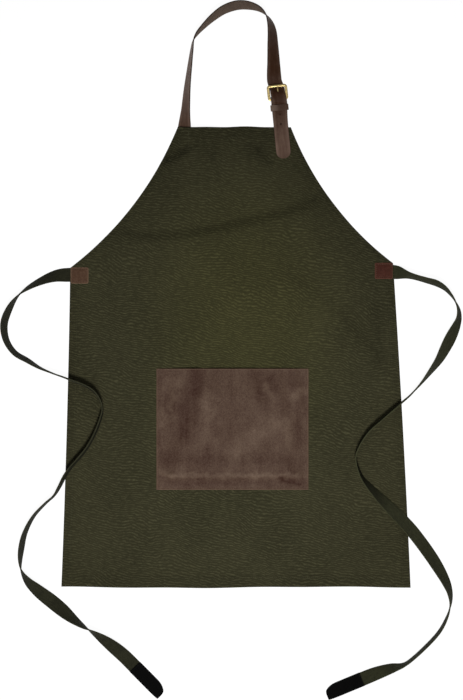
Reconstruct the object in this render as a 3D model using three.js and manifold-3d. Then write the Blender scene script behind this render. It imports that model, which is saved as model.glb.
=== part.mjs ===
// A canvas work apron lying flat, front side up: leather neck strap, patch pocket and two free waist ties.
// Millimetres: X runs across the apron, Y from the hem up to the neck, Z up from the surface that it lies on.
import * as THREE from 'three';
import { mergeVertices } from 'three/addons/utils/BufferGeometryUtils.js';
import Module from 'manifold-3d';

const wasm = await Module();
wasm.setup();
const { clamp, degToRad, lerp, smoothstep } = THREE.MathUtils;

// Canvas panel: outline, hems and wall
const HEM_LINE = { y: -543.5, left: -323, right: 323 };
const WAIST = { left: { x: -306.5, y: 47.5 }, right: { x: 290.5, y: 56 } };
const BIB_LINE = { y: 308, left: -107.5, right: 101.5 };
const ARMHOLE_CUT = 22;     // how far the armhole arc cuts in from a straight line
const SIDE_SWAY = 1.8;      // how far both side edges drift to the right at half height
const HEM = { side: 16, armhole: 12, armholeRun: 19.2, bottom: 21, bib: 24 };
const HEM_STEP = 1.5;       // run of the step from the turned hem to the single cloth
const CLOTH = 1.2;
const TURNED = 1.2;         // what the turned cloth adds at a hem
const SEAT = 0.3;           // gap between a piece and what carries it
const PANEL_CELLS = { across: 20, skirt: 19, bib: 16 };
const WAIST_ROWS = [8, 22, 35];

// Leather: walls and straps
const LEATHER = 1.6;
const STRAP = { width: 27, thick: 2.2 };
const POCKET = { left: -147, right: 134, bottom: -363, top: -139, seam: 5, ease: 12, shoulder: 32, rise: 9 };
const POCKET_CELLS = { across: 24, up: 19 };
const PATCH = { width: 33, height: 30, corner: 3, bevel: 0.4, inset: 0.8 };

// Buckle: its own frame has Y up the strap from the heel bar, X across the strap and Z up
const HEEL = { x: 79, y: 359.3, lean: 6 };
const FRAME = { width: 38, bars: 24.7, bar: 5.2, thick: 3.2, corner: 6, window: 1, bevel: 0.8 };
const FRAME_AT = { aside: -1, z: 4.4 };
const PRONG = { radius: 1.3, sides: 5, steps: 20 };
const PRONG_SLOT = { width: 4.4, length: 13, depth: 14, along: -0.5, z: 6.4 };
const KEEPER = { along: -15.8, aside: -0.2, length: 11, height: 12.6, wall: 1.6 };
const KEEPER_EASE = { corner: 2.4, inner: 0.6, spare: 1.6 };
const STRAP_HOLE = { radius: 1.6, sides: 10, depth: 10, z: 7, spare: 0.5 };
const STRAP_HOLES = [{ along: -27, aside: -0.6 }, { along: -46, aside: -1.1 }];
const TAIL_ROUND = 11;

// Ties and the tabs on their ends
const TIE = { width: 26, thick: 1.6 };
const TAB = { width: 26.8, end: 16, length: 72.5, thick: 3.2, shoulder: 26, bevel: 0.5, gap: 0.5 };

// Left end of the neck strap, sewn behind the bib: it leans, and lifts the corner of the bib with it
const SEWN = { y: 265, tiltEnd: 10, tiltEdge: 30, edgeX: -84.5, past: 1.5, reach: 75, fade: 50, spare: 0.6 };

// Soft folds of the panel: a crest from, via and to, its height, and how far each side runs out
const FOLD_SAMPLES = 24;
const FOLDS = [
  { from: [-185, 94], via: [-80, 88], to: [130, 150], height: 8.5, left: 28, right: 150 },
  { from: [30, 48], via: [150, 10], to: [246, -125], height: 6.5, left: 34, right: 85 },
  { from: [-44, 300], via: [-50, 275], to: [-53, 248], height: 2.5, left: 20, right: 24 },
  { from: [-70, -430], via: [-60, -490], to: [-64, -543], height: 3, left: 45, right: 60 },
  { from: [200, -430], via: [188, -490], to: [196, -543], height: 3, left: 60, right: 45 },
];

// Places where a flat end lies behind the panel and lifts it: centre, half sizes, and run of the slope
const TUCK_SPARE = 0.2;
const TIE_LIFT = TIE.thick + SEAT + TUCK_SPARE;
const TUCKS = [
  { x: 86, y: 296, halfX: 18, halfY: 28, height: STRAP.thick + SEAT + TUCK_SPARE, slope: 30 },
  { x: -290, y: 34, halfX: 27, halfY: 24, height: TIE_LIFT, slope: 38 },
  { x: 275, y: 40, halfX: 27, halfY: 24, height: TIE_LIFT, slope: 38 },
];

// Dents and puffs of the pocket: a line from and to, its height and its reach
const POCKET_FOLDS = [
  { from: [-70, -139], to: [-104, -262], height: -3, reach: 24 },
  { from: [44, -139], to: [48, -190], height: -2.4, reach: 17 },
  { from: [92, -150], to: [96, -215], height: -2, reach: 18 },
  { from: [116, -175], to: [120, -205], height: 2, reach: 16 },
  { from: [-120, -338], to: [112, -338], height: 2.6, reach: 11 },
];

// Neck strap from its sewn end, up the left side, over and down the right side to the buckle.
// tilt turns its width about its run, 180 being flat with the grain up; lift is its lowest edge.
const NECK_ROUTE = [
  { x: -97.6, y: 265, tilt: 170, lift: 0 },
  { x: -96.4, y: 287, tilt: 160, lift: 0 },
  { x: -95.2, y: 309, tilt: 149, lift: 0 },
  { x: -94.4, y: 322, tilt: 137, lift: 0 },
  { x: -93, y: 340, tilt: 125, lift: 0 },
  { x: -90, y: 380, tilt: 114, lift: 0 },
  { x: -85, y: 423, tilt: 105, lift: 0 },
  { x: -81.5, y: 450, tilt: 100, lift: 0 },
  { x: -78.5, y: 468, tilt: 93, lift: 0 },
  { x: -71.5, y: 480.5, tilt: 82, lift: 0 },
  { x: -58.5, y: 495, tilt: 75, lift: 0 },
  { x: -42.5, y: 510, tilt: 66, lift: 0 },
  { x: -22, y: 524.5, tilt: 58, lift: 0 },
  { x: 4, y: 532.8, tilt: 54, lift: 0 },
  { x: 26, y: 531.5, tilt: 62, lift: 0 },
  { x: 44, y: 525, tilt: 76, lift: 0 },
  { x: 55.5, y: 514.8, tilt: 92, lift: 0 },
  { x: 62.7, y: 501.5, tilt: 112, lift: 0 },
  { x: 66.6, y: 485.5, tilt: 125, lift: 0 },
  { x: 68.2, y: 458, tilt: 136, lift: 0 },
  { x: 69.7, y: 423, tilt: 150, lift: 0 },
  { x: 70.3, y: 404, tilt: 167, lift: 0 },
];

// Neck strap through the buckle and down to the tail's tip: along and aside in the buckle's frame
const TAIL_ROUTE = [
  { along: 34, aside: -4.2, lift: 0.4 },
  { along: 28, aside: -2.8, lift: 0.6 },
  { along: 22, aside: -1.5, lift: 1 },
  { along: 17, aside: -0.9, lift: 5.2 },
  { along: 12, aside: -0.8, lift: 9.9 },
  { along: 7, aside: -0.4, lift: 11.5 },
  { along: 1, aside: 0.9, lift: 11.8 },
  { along: -5, aside: 1.4, lift: 10.7 },
  { along: -10, aside: 1.2, lift: 7.6 },
  { along: -21, aside: 0.3, lift: 7 },
  { along: -35, aside: -0.7, lift: 6.6 },
  { along: -52, aside: -1.2, lift: 6.1 },
  { along: -75, aside: -1.4, lift: 5.8 },
  { along: -99, aside: -1.6, lift: 5.3 },
  { along: -105, aside: -1.6, lift: 5.2 },
  { along: -108.5, aside: -1.6, lift: 5.1 },
  { along: -110, aside: -1.6, lift: 5.1 },
];

// Buckle strap in side view, from its end behind the bib, over the heel bar and back under itself;
// it lies a little to the left of the tail
const FOLD_ASIDE = -1;
const FOLD_ROUTE = [
  { along: -86, z: 1.15 },
  { along: -58, z: 1.15 },
  { along: -41, z: 1.2 },
  { along: -36, z: 1.5 },
  { along: -31, z: 3.1 },
  { along: -26, z: 5.2 },
  { along: -22, z: 5.5 },
  { along: -11, z: 5.5 },
  { along: -6.5, z: 6.6 },
  { along: -3, z: 8.8 },
  { along: 0, z: 9.4 },
  { along: 3, z: 8.6 },
  { along: 4.4, z: 6 },
  { along: 3, z: 3.4 },
  { along: 0, z: 2.75 },
  { along: -5, z: 2.95 },
  { along: -13, z: 3 },
  { along: -22, z: 3 },
];

// Prong in side view, from its tip on the top bar down to its hook round the heel bar
const PRONG_ROUTE = [
  { along: 26.7, z: 9.35 },
  { along: 22.7, z: 9.35 },
  { along: 12, z: 9.35 },
  { along: 1, z: 9.35 },
  { along: -3.4, z: 8.75 },
  { along: -4.5, z: 6 },
  { along: -3.4, z: 3.25 },
  { along: 0, z: 2.65 },
  { along: 2.2, z: 2.65 },
];

// Ties from behind the waist corners to their tabs, with the same columns as the neck strap's
const LEFT_TIE = [
  { x: -284, y: 34.6, tilt: 0, lift: 0 },
  { x: -309, y: 34.5, tilt: 0, lift: 0 },
  { x: -331, y: 32.8, tilt: 32, lift: 0 },
  { x: -355, y: 25, tilt: 54, lift: 0 },
  { x: -385, y: 9.5, tilt: 75, lift: 0 },
  { x: -403, y: -5, tilt: 91, lift: 0 },
  { x: -418, y: -27, tilt: 114, lift: 0 },
  { x: -428.5, y: -56.5, tilt: 118, lift: 0 },
  { x: -424.5, y: -86, tilt: 111, lift: 0 },
  { x: -409, y: -109.5, tilt: 108, lift: 0 },
  { x: -385, y: -124, tilt: 108, lift: 0 },
  { x: -362.5, y: -137.5, tilt: 96, lift: 0 },
  { x: -339, y: -147.3, tilt: 90, lift: 1.5 },
  { x: -316, y: -155.6, tilt: 87, lift: 3 },
  { x: -267, y: -177, tilt: 84, lift: 2.9 },
  { x: -251, y: -197, tilt: 88, lift: 2.9 },
  { x: -246.4, y: -214, tilt: 92, lift: 2.9 },
  { x: -250, y: -231, tilt: 95, lift: 2.9 },
  { x: -260, y: -258, tilt: 97, lift: 2.9 },
  { x: -276.5, y: -287.5, tilt: 97, lift: 2.9 },
  { x: -313, y: -332, tilt: 100, lift: 3.2 },
  { x: -326, y: -357, tilt: 101, lift: 1.8 },
  { x: -336, y: -373.5, tilt: 94, lift: 0.2 },
  { x: -352, y: -388, tilt: 96, lift: 0 },
  { x: -374, y: -412, tilt: 99, lift: 0 },
  { x: -390, y: -443, tilt: 106, lift: 0 },
  { x: -396.5, y: -471, tilt: 112, lift: 0 },
  { x: -398.5, y: -494, tilt: 101, lift: 0 },
  { x: -396.5, y: -511, tilt: 86, lift: 0 },
  { x: -385, y: -531, tilt: 56, lift: 0 },
  { x: -367, y: -548.5, tilt: 28, lift: 0 },
  { x: -344, y: -567, tilt: 2, lift: 0 },
  { x: -322, y: -584.5, tilt: -20, lift: 0 },
  { x: -300.5, y: -602, tilt: -56, lift: 0 },
  { x: -281, y: -616, tilt: -80, lift: 0 },
  { x: -266.5, y: -625, tilt: -104, lift: 0 },
  { x: -248, y: -637.5, tilt: -130, lift: 0 },
  { x: -227.5, y: -653, tilt: -157, lift: 0.2 },
  { x: -207, y: -670.5, tilt: -176, lift: 0.6 },
  { x: -187, y: -690.5, tilt: -180, lift: 0.8 },
];
const RIGHT_TIE = [
  { x: 269, y: 40.3, tilt: 0, lift: 0 },
  { x: 293, y: 39.6, tilt: 0, lift: 0 },
  { x: 311, y: 35.6, tilt: 57, lift: 0 },
  { x: 329, y: 30.8, tilt: 71, lift: 0 },
  { x: 351, y: 24.6, tilt: 70, lift: 0 },
  { x: 370, y: 19, tilt: 66, lift: 0 },
  { x: 385, y: 10.4, tilt: 76, lift: 0 },
  { x: 396, y: -1, tilt: 84, lift: 0 },
  { x: 405.5, y: -15, tilt: 92, lift: 0 },
  { x: 411.5, y: -30.5, tilt: 104, lift: 0 },
  { x: 411.8, y: -45.5, tilt: 112, lift: 0 },
  { x: 407, y: -60, tilt: 126, lift: 0 },
  { x: 398.3, y: -78.6, tilt: 145, lift: 0 },
  { x: 388.5, y: -98, tilt: 143, lift: 0 },
  { x: 375.6, y: -122, tilt: 125, lift: 0 },
  { x: 359, y: -144.7, tilt: 109, lift: 0 },
  { x: 340.5, y: -168, tilt: 96, lift: 0.6 },
  { x: 322, y: -188, tilt: 90, lift: 2.6 },
  { x: 304.5, y: -203, tilt: 88, lift: 3 },
  { x: 270.5, y: -232, tilt: 86, lift: 2.9 },
  { x: 244.5, y: -255.5, tilt: 86, lift: 2.9 },
  { x: 229, y: -279, tilt: 88, lift: 2.9 },
  { x: 221.5, y: -300.5, tilt: 92, lift: 2.9 },
  { x: 224, y: -319, tilt: 96, lift: 2.9 },
  { x: 233, y: -340.5, tilt: 102, lift: 2.9 },
  { x: 247, y: -358, tilt: 113, lift: 2.9 },
  { x: 283, y: -395, tilt: 145, lift: 2.9 },
  { x: 309, y: -421, tilt: 153, lift: 3 },
  { x: 329.5, y: -444, tilt: 153, lift: 1.8 },
  { x: 368, y: -497.5, tilt: 150, lift: 0 },
  { x: 390.5, y: -538.5, tilt: 122, lift: 0 },
  { x: 396.3, y: -559.5, tilt: 108, lift: 0 },
  { x: 396, y: -578, tilt: 95, lift: 0 },
  { x: 388.5, y: -601.5, tilt: 85, lift: 0 },
  { x: 373, y: -628.5, tilt: 82, lift: 0 },
  { x: 322, y: -678.5, tilt: 83, lift: 0 },
  { x: 308, y: -687, tilt: 80, lift: 0 },
  { x: 289, y: -692.2, tilt: 54, lift: 0 },
  { x: 261, y: -701.7, tilt: 26, lift: 0.4 },
  { x: 233, y: -713.2, tilt: 0, lift: 0.8 },
];

// Colours and finishes
const CANVAS_LOOK = new THREE.MeshStandardMaterial({ color: 0x3b3a27, roughness: 0.95 });
const TIE_LOOK = new THREE.MeshStandardMaterial({ color: 0x2e2f23, roughness: 0.95 });
const LEATHER_LOOK = new THREE.MeshStandardMaterial({ color: 0x523f34, roughness: 0.6 });
const STRAP_LOOK = new THREE.MeshStandardMaterial({ color: 0x4a352a, roughness: 0.55 });
const BRASS_LOOK = new THREE.MeshStandardMaterial({ color: 0xb8a36a, roughness: 0.3, metalness: 1 });
const TAB_LOOK = new THREE.MeshStandardMaterial({ color: 0x0a0a0a, roughness: 0.8 });

// A closed sheet over a grid of [x, y] rows, between its lower and its upper face
function sheet(grid, lower, upper) {
  const columns = grid[0].length;
  const count = grid.length * columns;
  const positions = [];
  for (const face of [lower, upper]) {
    grid.forEach((row, i) => row.forEach(([x, y], j) => positions.push(x, y, face(x, y, i, j))));
  }
  const index = [];
  const quad = (a, b, c, d) => index.push(a, b, c, a, c, d);
  const at = (i, j) => i * columns + j;
  const rim = { low: [], right: [], high: [], left: [] };
  for (let i = 0; i < grid.length - 1; i += 1) {
    for (let j = 0; j < columns - 1; j += 1) {
      const corners = [at(i, j), at(i, j + 1), at(i + 1, j + 1), at(i + 1, j)];
      quad(...corners.map((k) => k + count));
      quad(...corners.reverse());
    }
    rim.right.push(at(i, columns - 1));
    rim.left.unshift(at(i + 1, 0));
  }
  for (let j = 0; j < columns - 1; j += 1) {
    rim.low.push(at(0, j));
    rim.high.unshift(at(grid.length - 1, j + 1));
  }
  const loop = [...rim.low, ...rim.right, ...rim.high, ...rim.left];
  loop.forEach((a, k) => {
    const b = loop[(k + 1) % loop.length];
    quad(a, b, b + count, a + count);
  });
  return indexed(positions, index);
}

function indexed(positions, index) {
  const geometry = new THREE.BufferGeometry();
  geometry.setAttribute('position', new THREE.Float32BufferAttribute(positions, 3));
  geometry.setIndex(index);
  geometry.computeVertexNormals();
  return geometry;
}

// A strip of rectangular section through sections of { centre, across, width }
function sweep(sections, thick) {
  const corners = [[-1, -1], [1, -1], [1, 1], [-1, 1]];
  const positions = [];
  const last = sections.length - 1;
  sections.forEach(({ centre, across, width }, i) => {
    const [before, after] = [sections[Math.max(i - 1, 0)], sections[Math.min(i + 1, last)]];
    const run = after.centre.clone().sub(before.centre);
    const face = new THREE.Vector3().crossVectors(run, across).normalize();
    for (const [a, b] of corners) {
      const corner = centre.clone().addScaledVector(across, a * width / 2);
      positions.push(...corner.addScaledVector(face, b * thick / 2).toArray());
    }
  });
  const index = [0, 3, 2, 0, 2, 1];
  for (let i = 0; i < last; i += 1) {
    for (let k = 0; k < 4; k += 1) {
      const [a, b] = [4 * i + k, 4 * i + (k + 1) % 4];
      index.push(a, b, b + 4, a, b + 4, a + 4);
    }
  }
  const end = 4 * last;
  index.push(end, end + 1, end + 2, end, end + 2, end + 3);
  return indexed(positions, index);
}

// A strip that follows rows of { x, y, tilt, lift } and stands on its lowest edge; its end may be rounded
const STEPS_PER_ROW = 2;
const routeOf = (rows) => new THREE.CatmullRomCurve3(rows.map((row) => new THREE.Vector3(row.x, row.y, 0)));

function ribbon(rows, { width, thick }, round = 0) {
  const route = routeOf(rows);
  const steps = (rows.length - 1) * STEPS_PER_ROW;
  const sections = [];
  for (let i = 0; i <= steps; i += 1) {
    const centre = route.getPoint(i / steps);
    const run = route.getTangent(i / steps);
    const [before, after] = [Math.floor, Math.ceil].map((whole) => rows[whole(i / STEPS_PER_ROW)]);
    const share = (i % STEPS_PER_ROW) / STEPS_PER_ROW;
    const angle = degToRad(lerp(before.tilt, after.tilt, share));
    const lift = lerp(before.lift, after.lift, share);
    const across = new THREE.Vector3(-run.y * Math.cos(angle), run.x * Math.cos(angle), Math.sin(angle));
    const toEnd = centre.distanceTo(route.points.at(-1));
    const cut = toEnd < round ? round - Math.sqrt(round ** 2 - (round - toEnd) ** 2) : 0;
    centre.z = lift + (width * Math.abs(Math.sin(angle)) + thick * Math.abs(Math.cos(angle))) / 2;
    sections.push({ centre, across, width: width - 2 * cut });
  }
  return sweep(sections, thick);
}

// A closed geometry as a solid to cut, and a cut solid as a geometry
function toSolid(geometry) {
  const bare = geometry.clone();
  bare.deleteAttribute('normal');
  bare.deleteAttribute('uv');
  const merged = mergeVertices(bare, 1e-4);
  const vertProperties = Float32Array.from(merged.attributes.position.array);
  const triVerts = Uint32Array.from(merged.index.array);
  return new wasm.Manifold(new wasm.Mesh({ numProp: 3, vertProperties, triVerts }));
}

function toGeometry(solid) {
  const { vertProperties, triVerts } = solid.getMesh();
  return indexed(Array.from(vertProperties), Array.from(triVerts));
}

function roundedRect(shape, width, height, radius) {
  const [w, h] = [width / 2, height / 2];
  shape.moveTo(-w + radius, -h);
  shape.lineTo(w - radius, -h).absarc(w - radius, -h + radius, radius, -Math.PI / 2, 0);
  shape.lineTo(w, h - radius).absarc(w - radius, h - radius, radius, 0, Math.PI / 2);
  shape.lineTo(-w + radius, h).absarc(-w + radius, h - radius, radius, Math.PI / 2, Math.PI);
  shape.lineTo(-w, -h + radius).absarc(-w + radius, -h + radius, radius, Math.PI, 1.5 * Math.PI);
  return shape;
}

// A flat plate of a shape, its rims eased, from z = 0 to its thickness
function plate(shape, thick, bevel, curveSegments) {
  const geometry = new THREE.ExtrudeGeometry(shape, {
    depth: thick - 2 * bevel,
    bevelSize: bevel,
    bevelThickness: bevel,
    bevelOffset: -bevel,
    bevelSegments: 1,
    curveSegments,
  });
  return geometry.translate(0, 0, bevel);
}

function named(name, geometry, material) {
  const mesh = new THREE.Mesh(geometry, material.clone());
  mesh.name = name;
  return mesh;
}

const spaced = (from, to, count) => Array.from({ length: count + 1 }, (_, i) => lerp(from, to, i / count));

// Panel outline: an arc at the armhole, a nearly straight side below it
function armholeX(y, corner, top, outward) {
  const [dx, dy] = [top - corner.x, BIB_LINE.y - corner.y];
  const chord = Math.hypot(dx, dy);
  const radius = (chord ** 2 / 4 + ARMHOLE_CUT ** 2) / (2 * ARMHOLE_CUT);
  const off = radius - ARMHOLE_CUT;
  const centreX = (top + corner.x) / 2 + outward * off * dy / chord;
  const centreY = (BIB_LINE.y + corner.y) / 2 + off * Math.abs(dx) / chord;
  return centreX - outward * Math.sqrt(radius ** 2 - (y - centreY) ** 2);
}

function sideX(y, corner, foot) {
  const t = (corner.y - y) / (corner.y - HEM_LINE.y);
  return lerp(corner.x, foot, t) + SIDE_SWAY * 4 * t * (1 - t);
}

function edgeX(y, corner, top, foot, outward) {
  return y > corner.y ? armholeX(y, corner, top, outward) : sideX(y, corner, foot);
}

const leftX = (y) => edgeX(y, WAIST.left, BIB_LINE.left, HEM_LINE.left, -1);
const rightX = (y) => edgeX(y, WAIST.right, BIB_LINE.right, HEM_LINE.right, 1);

// Width of a hem along a row: an armhole's runs aslant
function hemRun(edge, y, corner) {
  const slope = (edge(y + 1) - edge(y - 1)) / 2;
  return y > corner.y ? Math.min(HEM.armhole * Math.hypot(1, slope), HEM.armholeRun) : HEM.side;
}

// Height of the panel's underside: soft folds, and lifts where something is sewn behind it
function foldHeight(x, y, fold) {
  const [a, b, c] = [fold.from, fold.via, fold.to].map(([px, py]) => new THREE.Vector2(px, py));
  const crest = new THREE.QuadraticBezierCurve(a, b, c);
  const spot = new THREE.Vector2(x, y);
  let nearest = { gap: Infinity, t: 0 };
  for (const t of spaced(0, 1, FOLD_SAMPLES)) {
    const gap = crest.getPoint(t).distanceTo(spot);
    if (gap < nearest.gap) nearest = { gap, t };
  }
  const run = crest.getTangent(nearest.t);
  const away = spot.clone().sub(crest.getPoint(nearest.t));
  const reach = run.cross(away) > 0 ? fold.left : fold.right;
  return fold.height * (1 - smoothstep(nearest.gap, 0, reach));
}

function tuckHeight(x, y, tuck) {
  const besideX = Math.max(Math.abs(x - tuck.x) - tuck.halfX, 0);
  const besideY = Math.max(Math.abs(y - tuck.y) - tuck.halfY, 0);
  return tuck.height * (1 - smoothstep(Math.hypot(besideX, besideY), 0, tuck.slope));
}

function sewnHeight(x, y) {
  const up = clamp((y - SEWN.y) / (BIB_LINE.y - SEWN.y), 0, 1);
  const tilt = degToRad(lerp(SEWN.tiltEnd, SEWN.tiltEdge, up));
  const flat = STRAP.thick + SEAT + SEWN.spare;
  const crest = STRAP.width * Math.sin(tilt) + flat / Math.cos(tilt) + SEWN.past * Math.tan(tilt);
  const inward = x - SEWN.edgeX - SEWN.past;
  const leaning = Math.max(crest + inward * Math.tan(tilt), flat);
  const falling = crest * (1 - smoothstep(inward, 0, SEWN.reach));
  return (inward < 0 ? leaning : falling) * smoothstep(y, SEWN.y - SEWN.fade, SEWN.y - SEAT);
}

function panelLow(x, y) {
  const lifts = [sewnHeight(x, y), ...TUCKS.map((tuck) => tuckHeight(x, y, tuck))];
  return Math.max(...lifts, ...FOLDS.map((fold) => foldHeight(x, y, fold)));
}

function canvasPanel() {
  const low = HEM_LINE.y + HEM.bottom;
  const high = BIB_LINE.y - HEM.bib;
  const [skirtTop, ...waistRows] = WAIST_ROWS;
  const rows = [
    HEM_LINE.y, low - HEM_STEP,
    ...spaced(low, skirtTop, PANEL_CELLS.skirt), ...waistRows, WAIST.left.y,
    ...spaced(WAIST.right.y, high, PANEL_CELLS.bib),
    high + HEM_STEP, (high + BIB_LINE.y) / 2, BIB_LINE.y,
  ];
  const grid = rows.map((y) => {
    const [left, right] = [leftX(y), rightX(y)];
    const [a, b] = [left + hemRun(leftX, y, WAIST.left), right - hemRun(rightX, y, WAIST.right)];
    const across = [left, a - HEM_STEP, ...spaced(a, b, PANEL_CELLS.across), b + HEM_STEP, right];
    return across.map((x) => [x, y]);
  });
  const columns = grid[0].length;
  const turned = (y, j) => y < low || y > high || j < 2 || j > columns - 3;
  const upper = (x, y, i, j) => panelLow(x, y) + CLOTH + (turned(y, j) ? TURNED : 0);
  return sheet(grid, panelLow, upper);
}

// Pocket: flat at its three seams, puffed between them, open along its top edge
function lineGap(x, y, [ax, ay], [bx, by]) {
  const t = clamp(((x - ax) * (bx - ax) + (y - ay) * (by - ay)) / ((bx - ax) ** 2 + (by - ay) ** 2), 0, 1);
  return Math.hypot(x - lerp(ax, bx, t), y - lerp(ay, by, t));
}

function pocketLow(x, y) {
  const inside = Math.min(x - POCKET.left, POCKET.right - x, y - POCKET.bottom);
  const shoulder = smoothstep(inside, POCKET.seam, POCKET.seam + POCKET.shoulder);
  const folds = POCKET_FOLDS.map((f) => f.height * (1 - smoothstep(lineGap(x, y, f.from, f.to), 0, f.reach)));
  const free = smoothstep(inside, POCKET.seam, POCKET.seam + POCKET.ease);
  const puff = POCKET.rise * shoulder + free * folds.reduce((sum, height) => sum + height, 0);
  return panelLow(x, y) + CLOTH + SEAT + Math.max(puff, 0);
}

function leatherPocket() {
  const [left, right] = [POCKET.left + POCKET.seam, POCKET.right - POCKET.seam];
  const across = [POCKET.left, ...spaced(left, right, POCKET_CELLS.across), POCKET.right];
  const up = [POCKET.bottom, ...spaced(POCKET.bottom + POCKET.seam, POCKET.top, POCKET_CELLS.up)];
  const grid = up.map((y) => across.map((x) => [x, y]));
  return sheet(grid, pocketLow, (x, y) => pocketLow(x, y) + LEATHER);
}

// Buckle and straps, in the buckle's own frame
const buckle = new THREE.Group();
buckle.position.set(HEEL.x, HEEL.y, 0);
buckle.rotation.z = degToRad(HEEL.lean);

function buckleFrame() {
  const [width, length] = [FRAME.width, FRAME.bars + FRAME.bar];
  const outline = roundedRect(new THREE.Shape(), width, length, FRAME.corner);
  const gap = [width - 2 * FRAME.bar, length - 2 * FRAME.bar];
  outline.holes.push(roundedRect(new THREE.Path(), ...gap, FRAME.window));
  return plate(outline, FRAME.thick, FRAME.bevel, 4).translate(FRAME_AT.aside, FRAME.bars / 2, FRAME_AT.z);
}

function sideRoute(rows) {
  return new THREE.CatmullRomCurve3(rows.map(({ along, z }) => new THREE.Vector3(0, along, z)));
}

function prongWire(radius) {
  const round = new THREE.Shape().absarc(0, 0, radius, 0, 2 * Math.PI);
  return new THREE.ExtrudeGeometry(round, {
    extrudePath: sideRoute(PRONG_ROUTE),
    steps: PRONG.steps,
    curveSegments: PRONG.sides,
    bevelEnabled: false,
  });
}

function buckleStrap() {
  const route = sideRoute(FOLD_ROUTE);
  const across = new THREE.Vector3(1, 0, 0);
  const places = spaced(0, 1, (FOLD_ROUTE.length - 1) * STEPS_PER_ROW);
  const sections = places.map((t) => ({ centre: route.getPoint(t), across, width: STRAP.width }));
  const slot = new THREE.BoxGeometry(PRONG_SLOT.width, PRONG_SLOT.length, PRONG_SLOT.depth);
  slot.translate(0, PRONG_SLOT.along, PRONG_SLOT.z);
  const strap = sweep(sections, STRAP.thick).translate(FOLD_ASIDE, 0, 0);
  return toGeometry(toSolid(strap).subtract(toSolid(slot)));
}

function neckStrap() {
  buckle.updateMatrixWorld();
  const onBuckle = ({ along, aside, lift }) => {
    const spot = new THREE.Vector3(aside, along, 0).applyMatrix4(buckle.matrixWorld);
    return { x: spot.x, y: spot.y, tilt: 180, lift };
  };
  let strap = toSolid(ribbon([...NECK_ROUTE, ...TAIL_ROUTE.map(onBuckle)], STRAP, TAIL_ROUND));
  const { radius, depth, sides, z } = STRAP_HOLE;
  const punches = STRAP_HOLES.map(({ along, aside }) => {
    const punch = new THREE.CylinderGeometry(radius, radius, depth, sides);
    return punch.rotateX(Math.PI / 2).translate(aside, along, z);
  });
  for (const cutter of [prongWire(PRONG.radius + STRAP_HOLE.spare), ...punches]) {
    strap = strap.subtract(toSolid(cutter.applyMatrix4(buckle.matrixWorld)));
  }
  return toGeometry(strap);
}

function strapKeeper() {
  const { along, aside, length, height, wall } = KEEPER;
  const width = STRAP.width + 2 * (wall + KEEPER_EASE.spare);
  const band = roundedRect(new THREE.Shape(), width, height, KEEPER_EASE.corner);
  band.holes.push(roundedRect(new THREE.Path(), width - 2 * wall, height - 2 * wall, KEEPER_EASE.inner));
  const loop = new THREE.ExtrudeGeometry(band, { depth: length, bevelEnabled: false, curveSegments: 3 });
  return loop.rotateX(Math.PI / 2).translate(aside, along + length / 2, height / 2);
}

// Patch with its outer top corner at a waist corner of the panel
function cornerPatch(corner, inward) {
  const shape = roundedRect(new THREE.Shape(), PATCH.width, PATCH.height, PATCH.corner);
  const x = corner.x + inward * (PATCH.width / 2 + PATCH.inset);
  const y = corner.y - PATCH.height / 2 + PATCH.inset;
  const z = TIE_LIFT + CLOTH + TURNED + SEAT;
  return plate(shape, LEATHER, PATCH.bevel, 3).translate(x, y, z);
}

// Tab that carries on from the end of a tie, with a rounded taper to its far end
function tieTab(rows) {
  const end = rows.at(-1);
  const run = routeOf(rows).getTangent(1);
  const [w, e, l] = [TAB.width / 2, TAB.end / 2, TAB.length];
  const [straight, bend] = [l - TAB.shoulder, l - TAB.shoulder / 3];
  const shape = new THREE.Shape();
  shape.moveTo(0, -w);
  shape.lineTo(straight, -w).quadraticCurveTo(bend, -w, l, -e);
  shape.lineTo(l, e).quadraticCurveTo(bend, w, straight, w);
  shape.lineTo(0, w);
  const tab = plate(shape, TAB.thick, TAB.bevel, 6).translate(TAB.gap, 0, 0);
  return tab.rotateZ(Math.atan2(run.y, run.x)).translate(end.x, end.y, 0);
}

const apron = new THREE.Group();
apron.add(named('canvas_panel', canvasPanel(), CANVAS_LOOK));
apron.add(named('leather_pocket', leatherPocket(), LEATHER_LOOK));
apron.add(named('corner_patch_left', cornerPatch(WAIST.left, 1), LEATHER_LOOK));
apron.add(named('corner_patch_right', cornerPatch(WAIST.right, -1), LEATHER_LOOK));
apron.add(named('neck_strap', neckStrap(), STRAP_LOOK));
buckle.add(named('buckle_strap', buckleStrap(), STRAP_LOOK));
buckle.add(named('buckle_frame', buckleFrame(), BRASS_LOOK));
buckle.add(named('buckle_prong', prongWire(PRONG.radius), BRASS_LOOK));
buckle.add(named('strap_keeper', strapKeeper(), STRAP_LOOK));
apron.add(buckle);
for (const [side, rows] of [['left', LEFT_TIE], ['right', RIGHT_TIE]]) {
  apron.add(named(`tie_${side}`, ribbon(rows, TIE), TIE_LOOK));
  apron.add(named(`tie_tip_${side}`, tieTab(rows), TAB_LOOK));
}

export default apron;
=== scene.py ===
# %% [markdown]
# A canvas work apron lies flat on a pale floor and is seen from straight above.
# The measured model is loaded first and stays fixed. Every piece below is laid over it, in metres,
# in the same frame: X runs across the apron, Y from the hem to the neck strap, Z up off the floor.

# %% Load the measured model
import math

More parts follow.
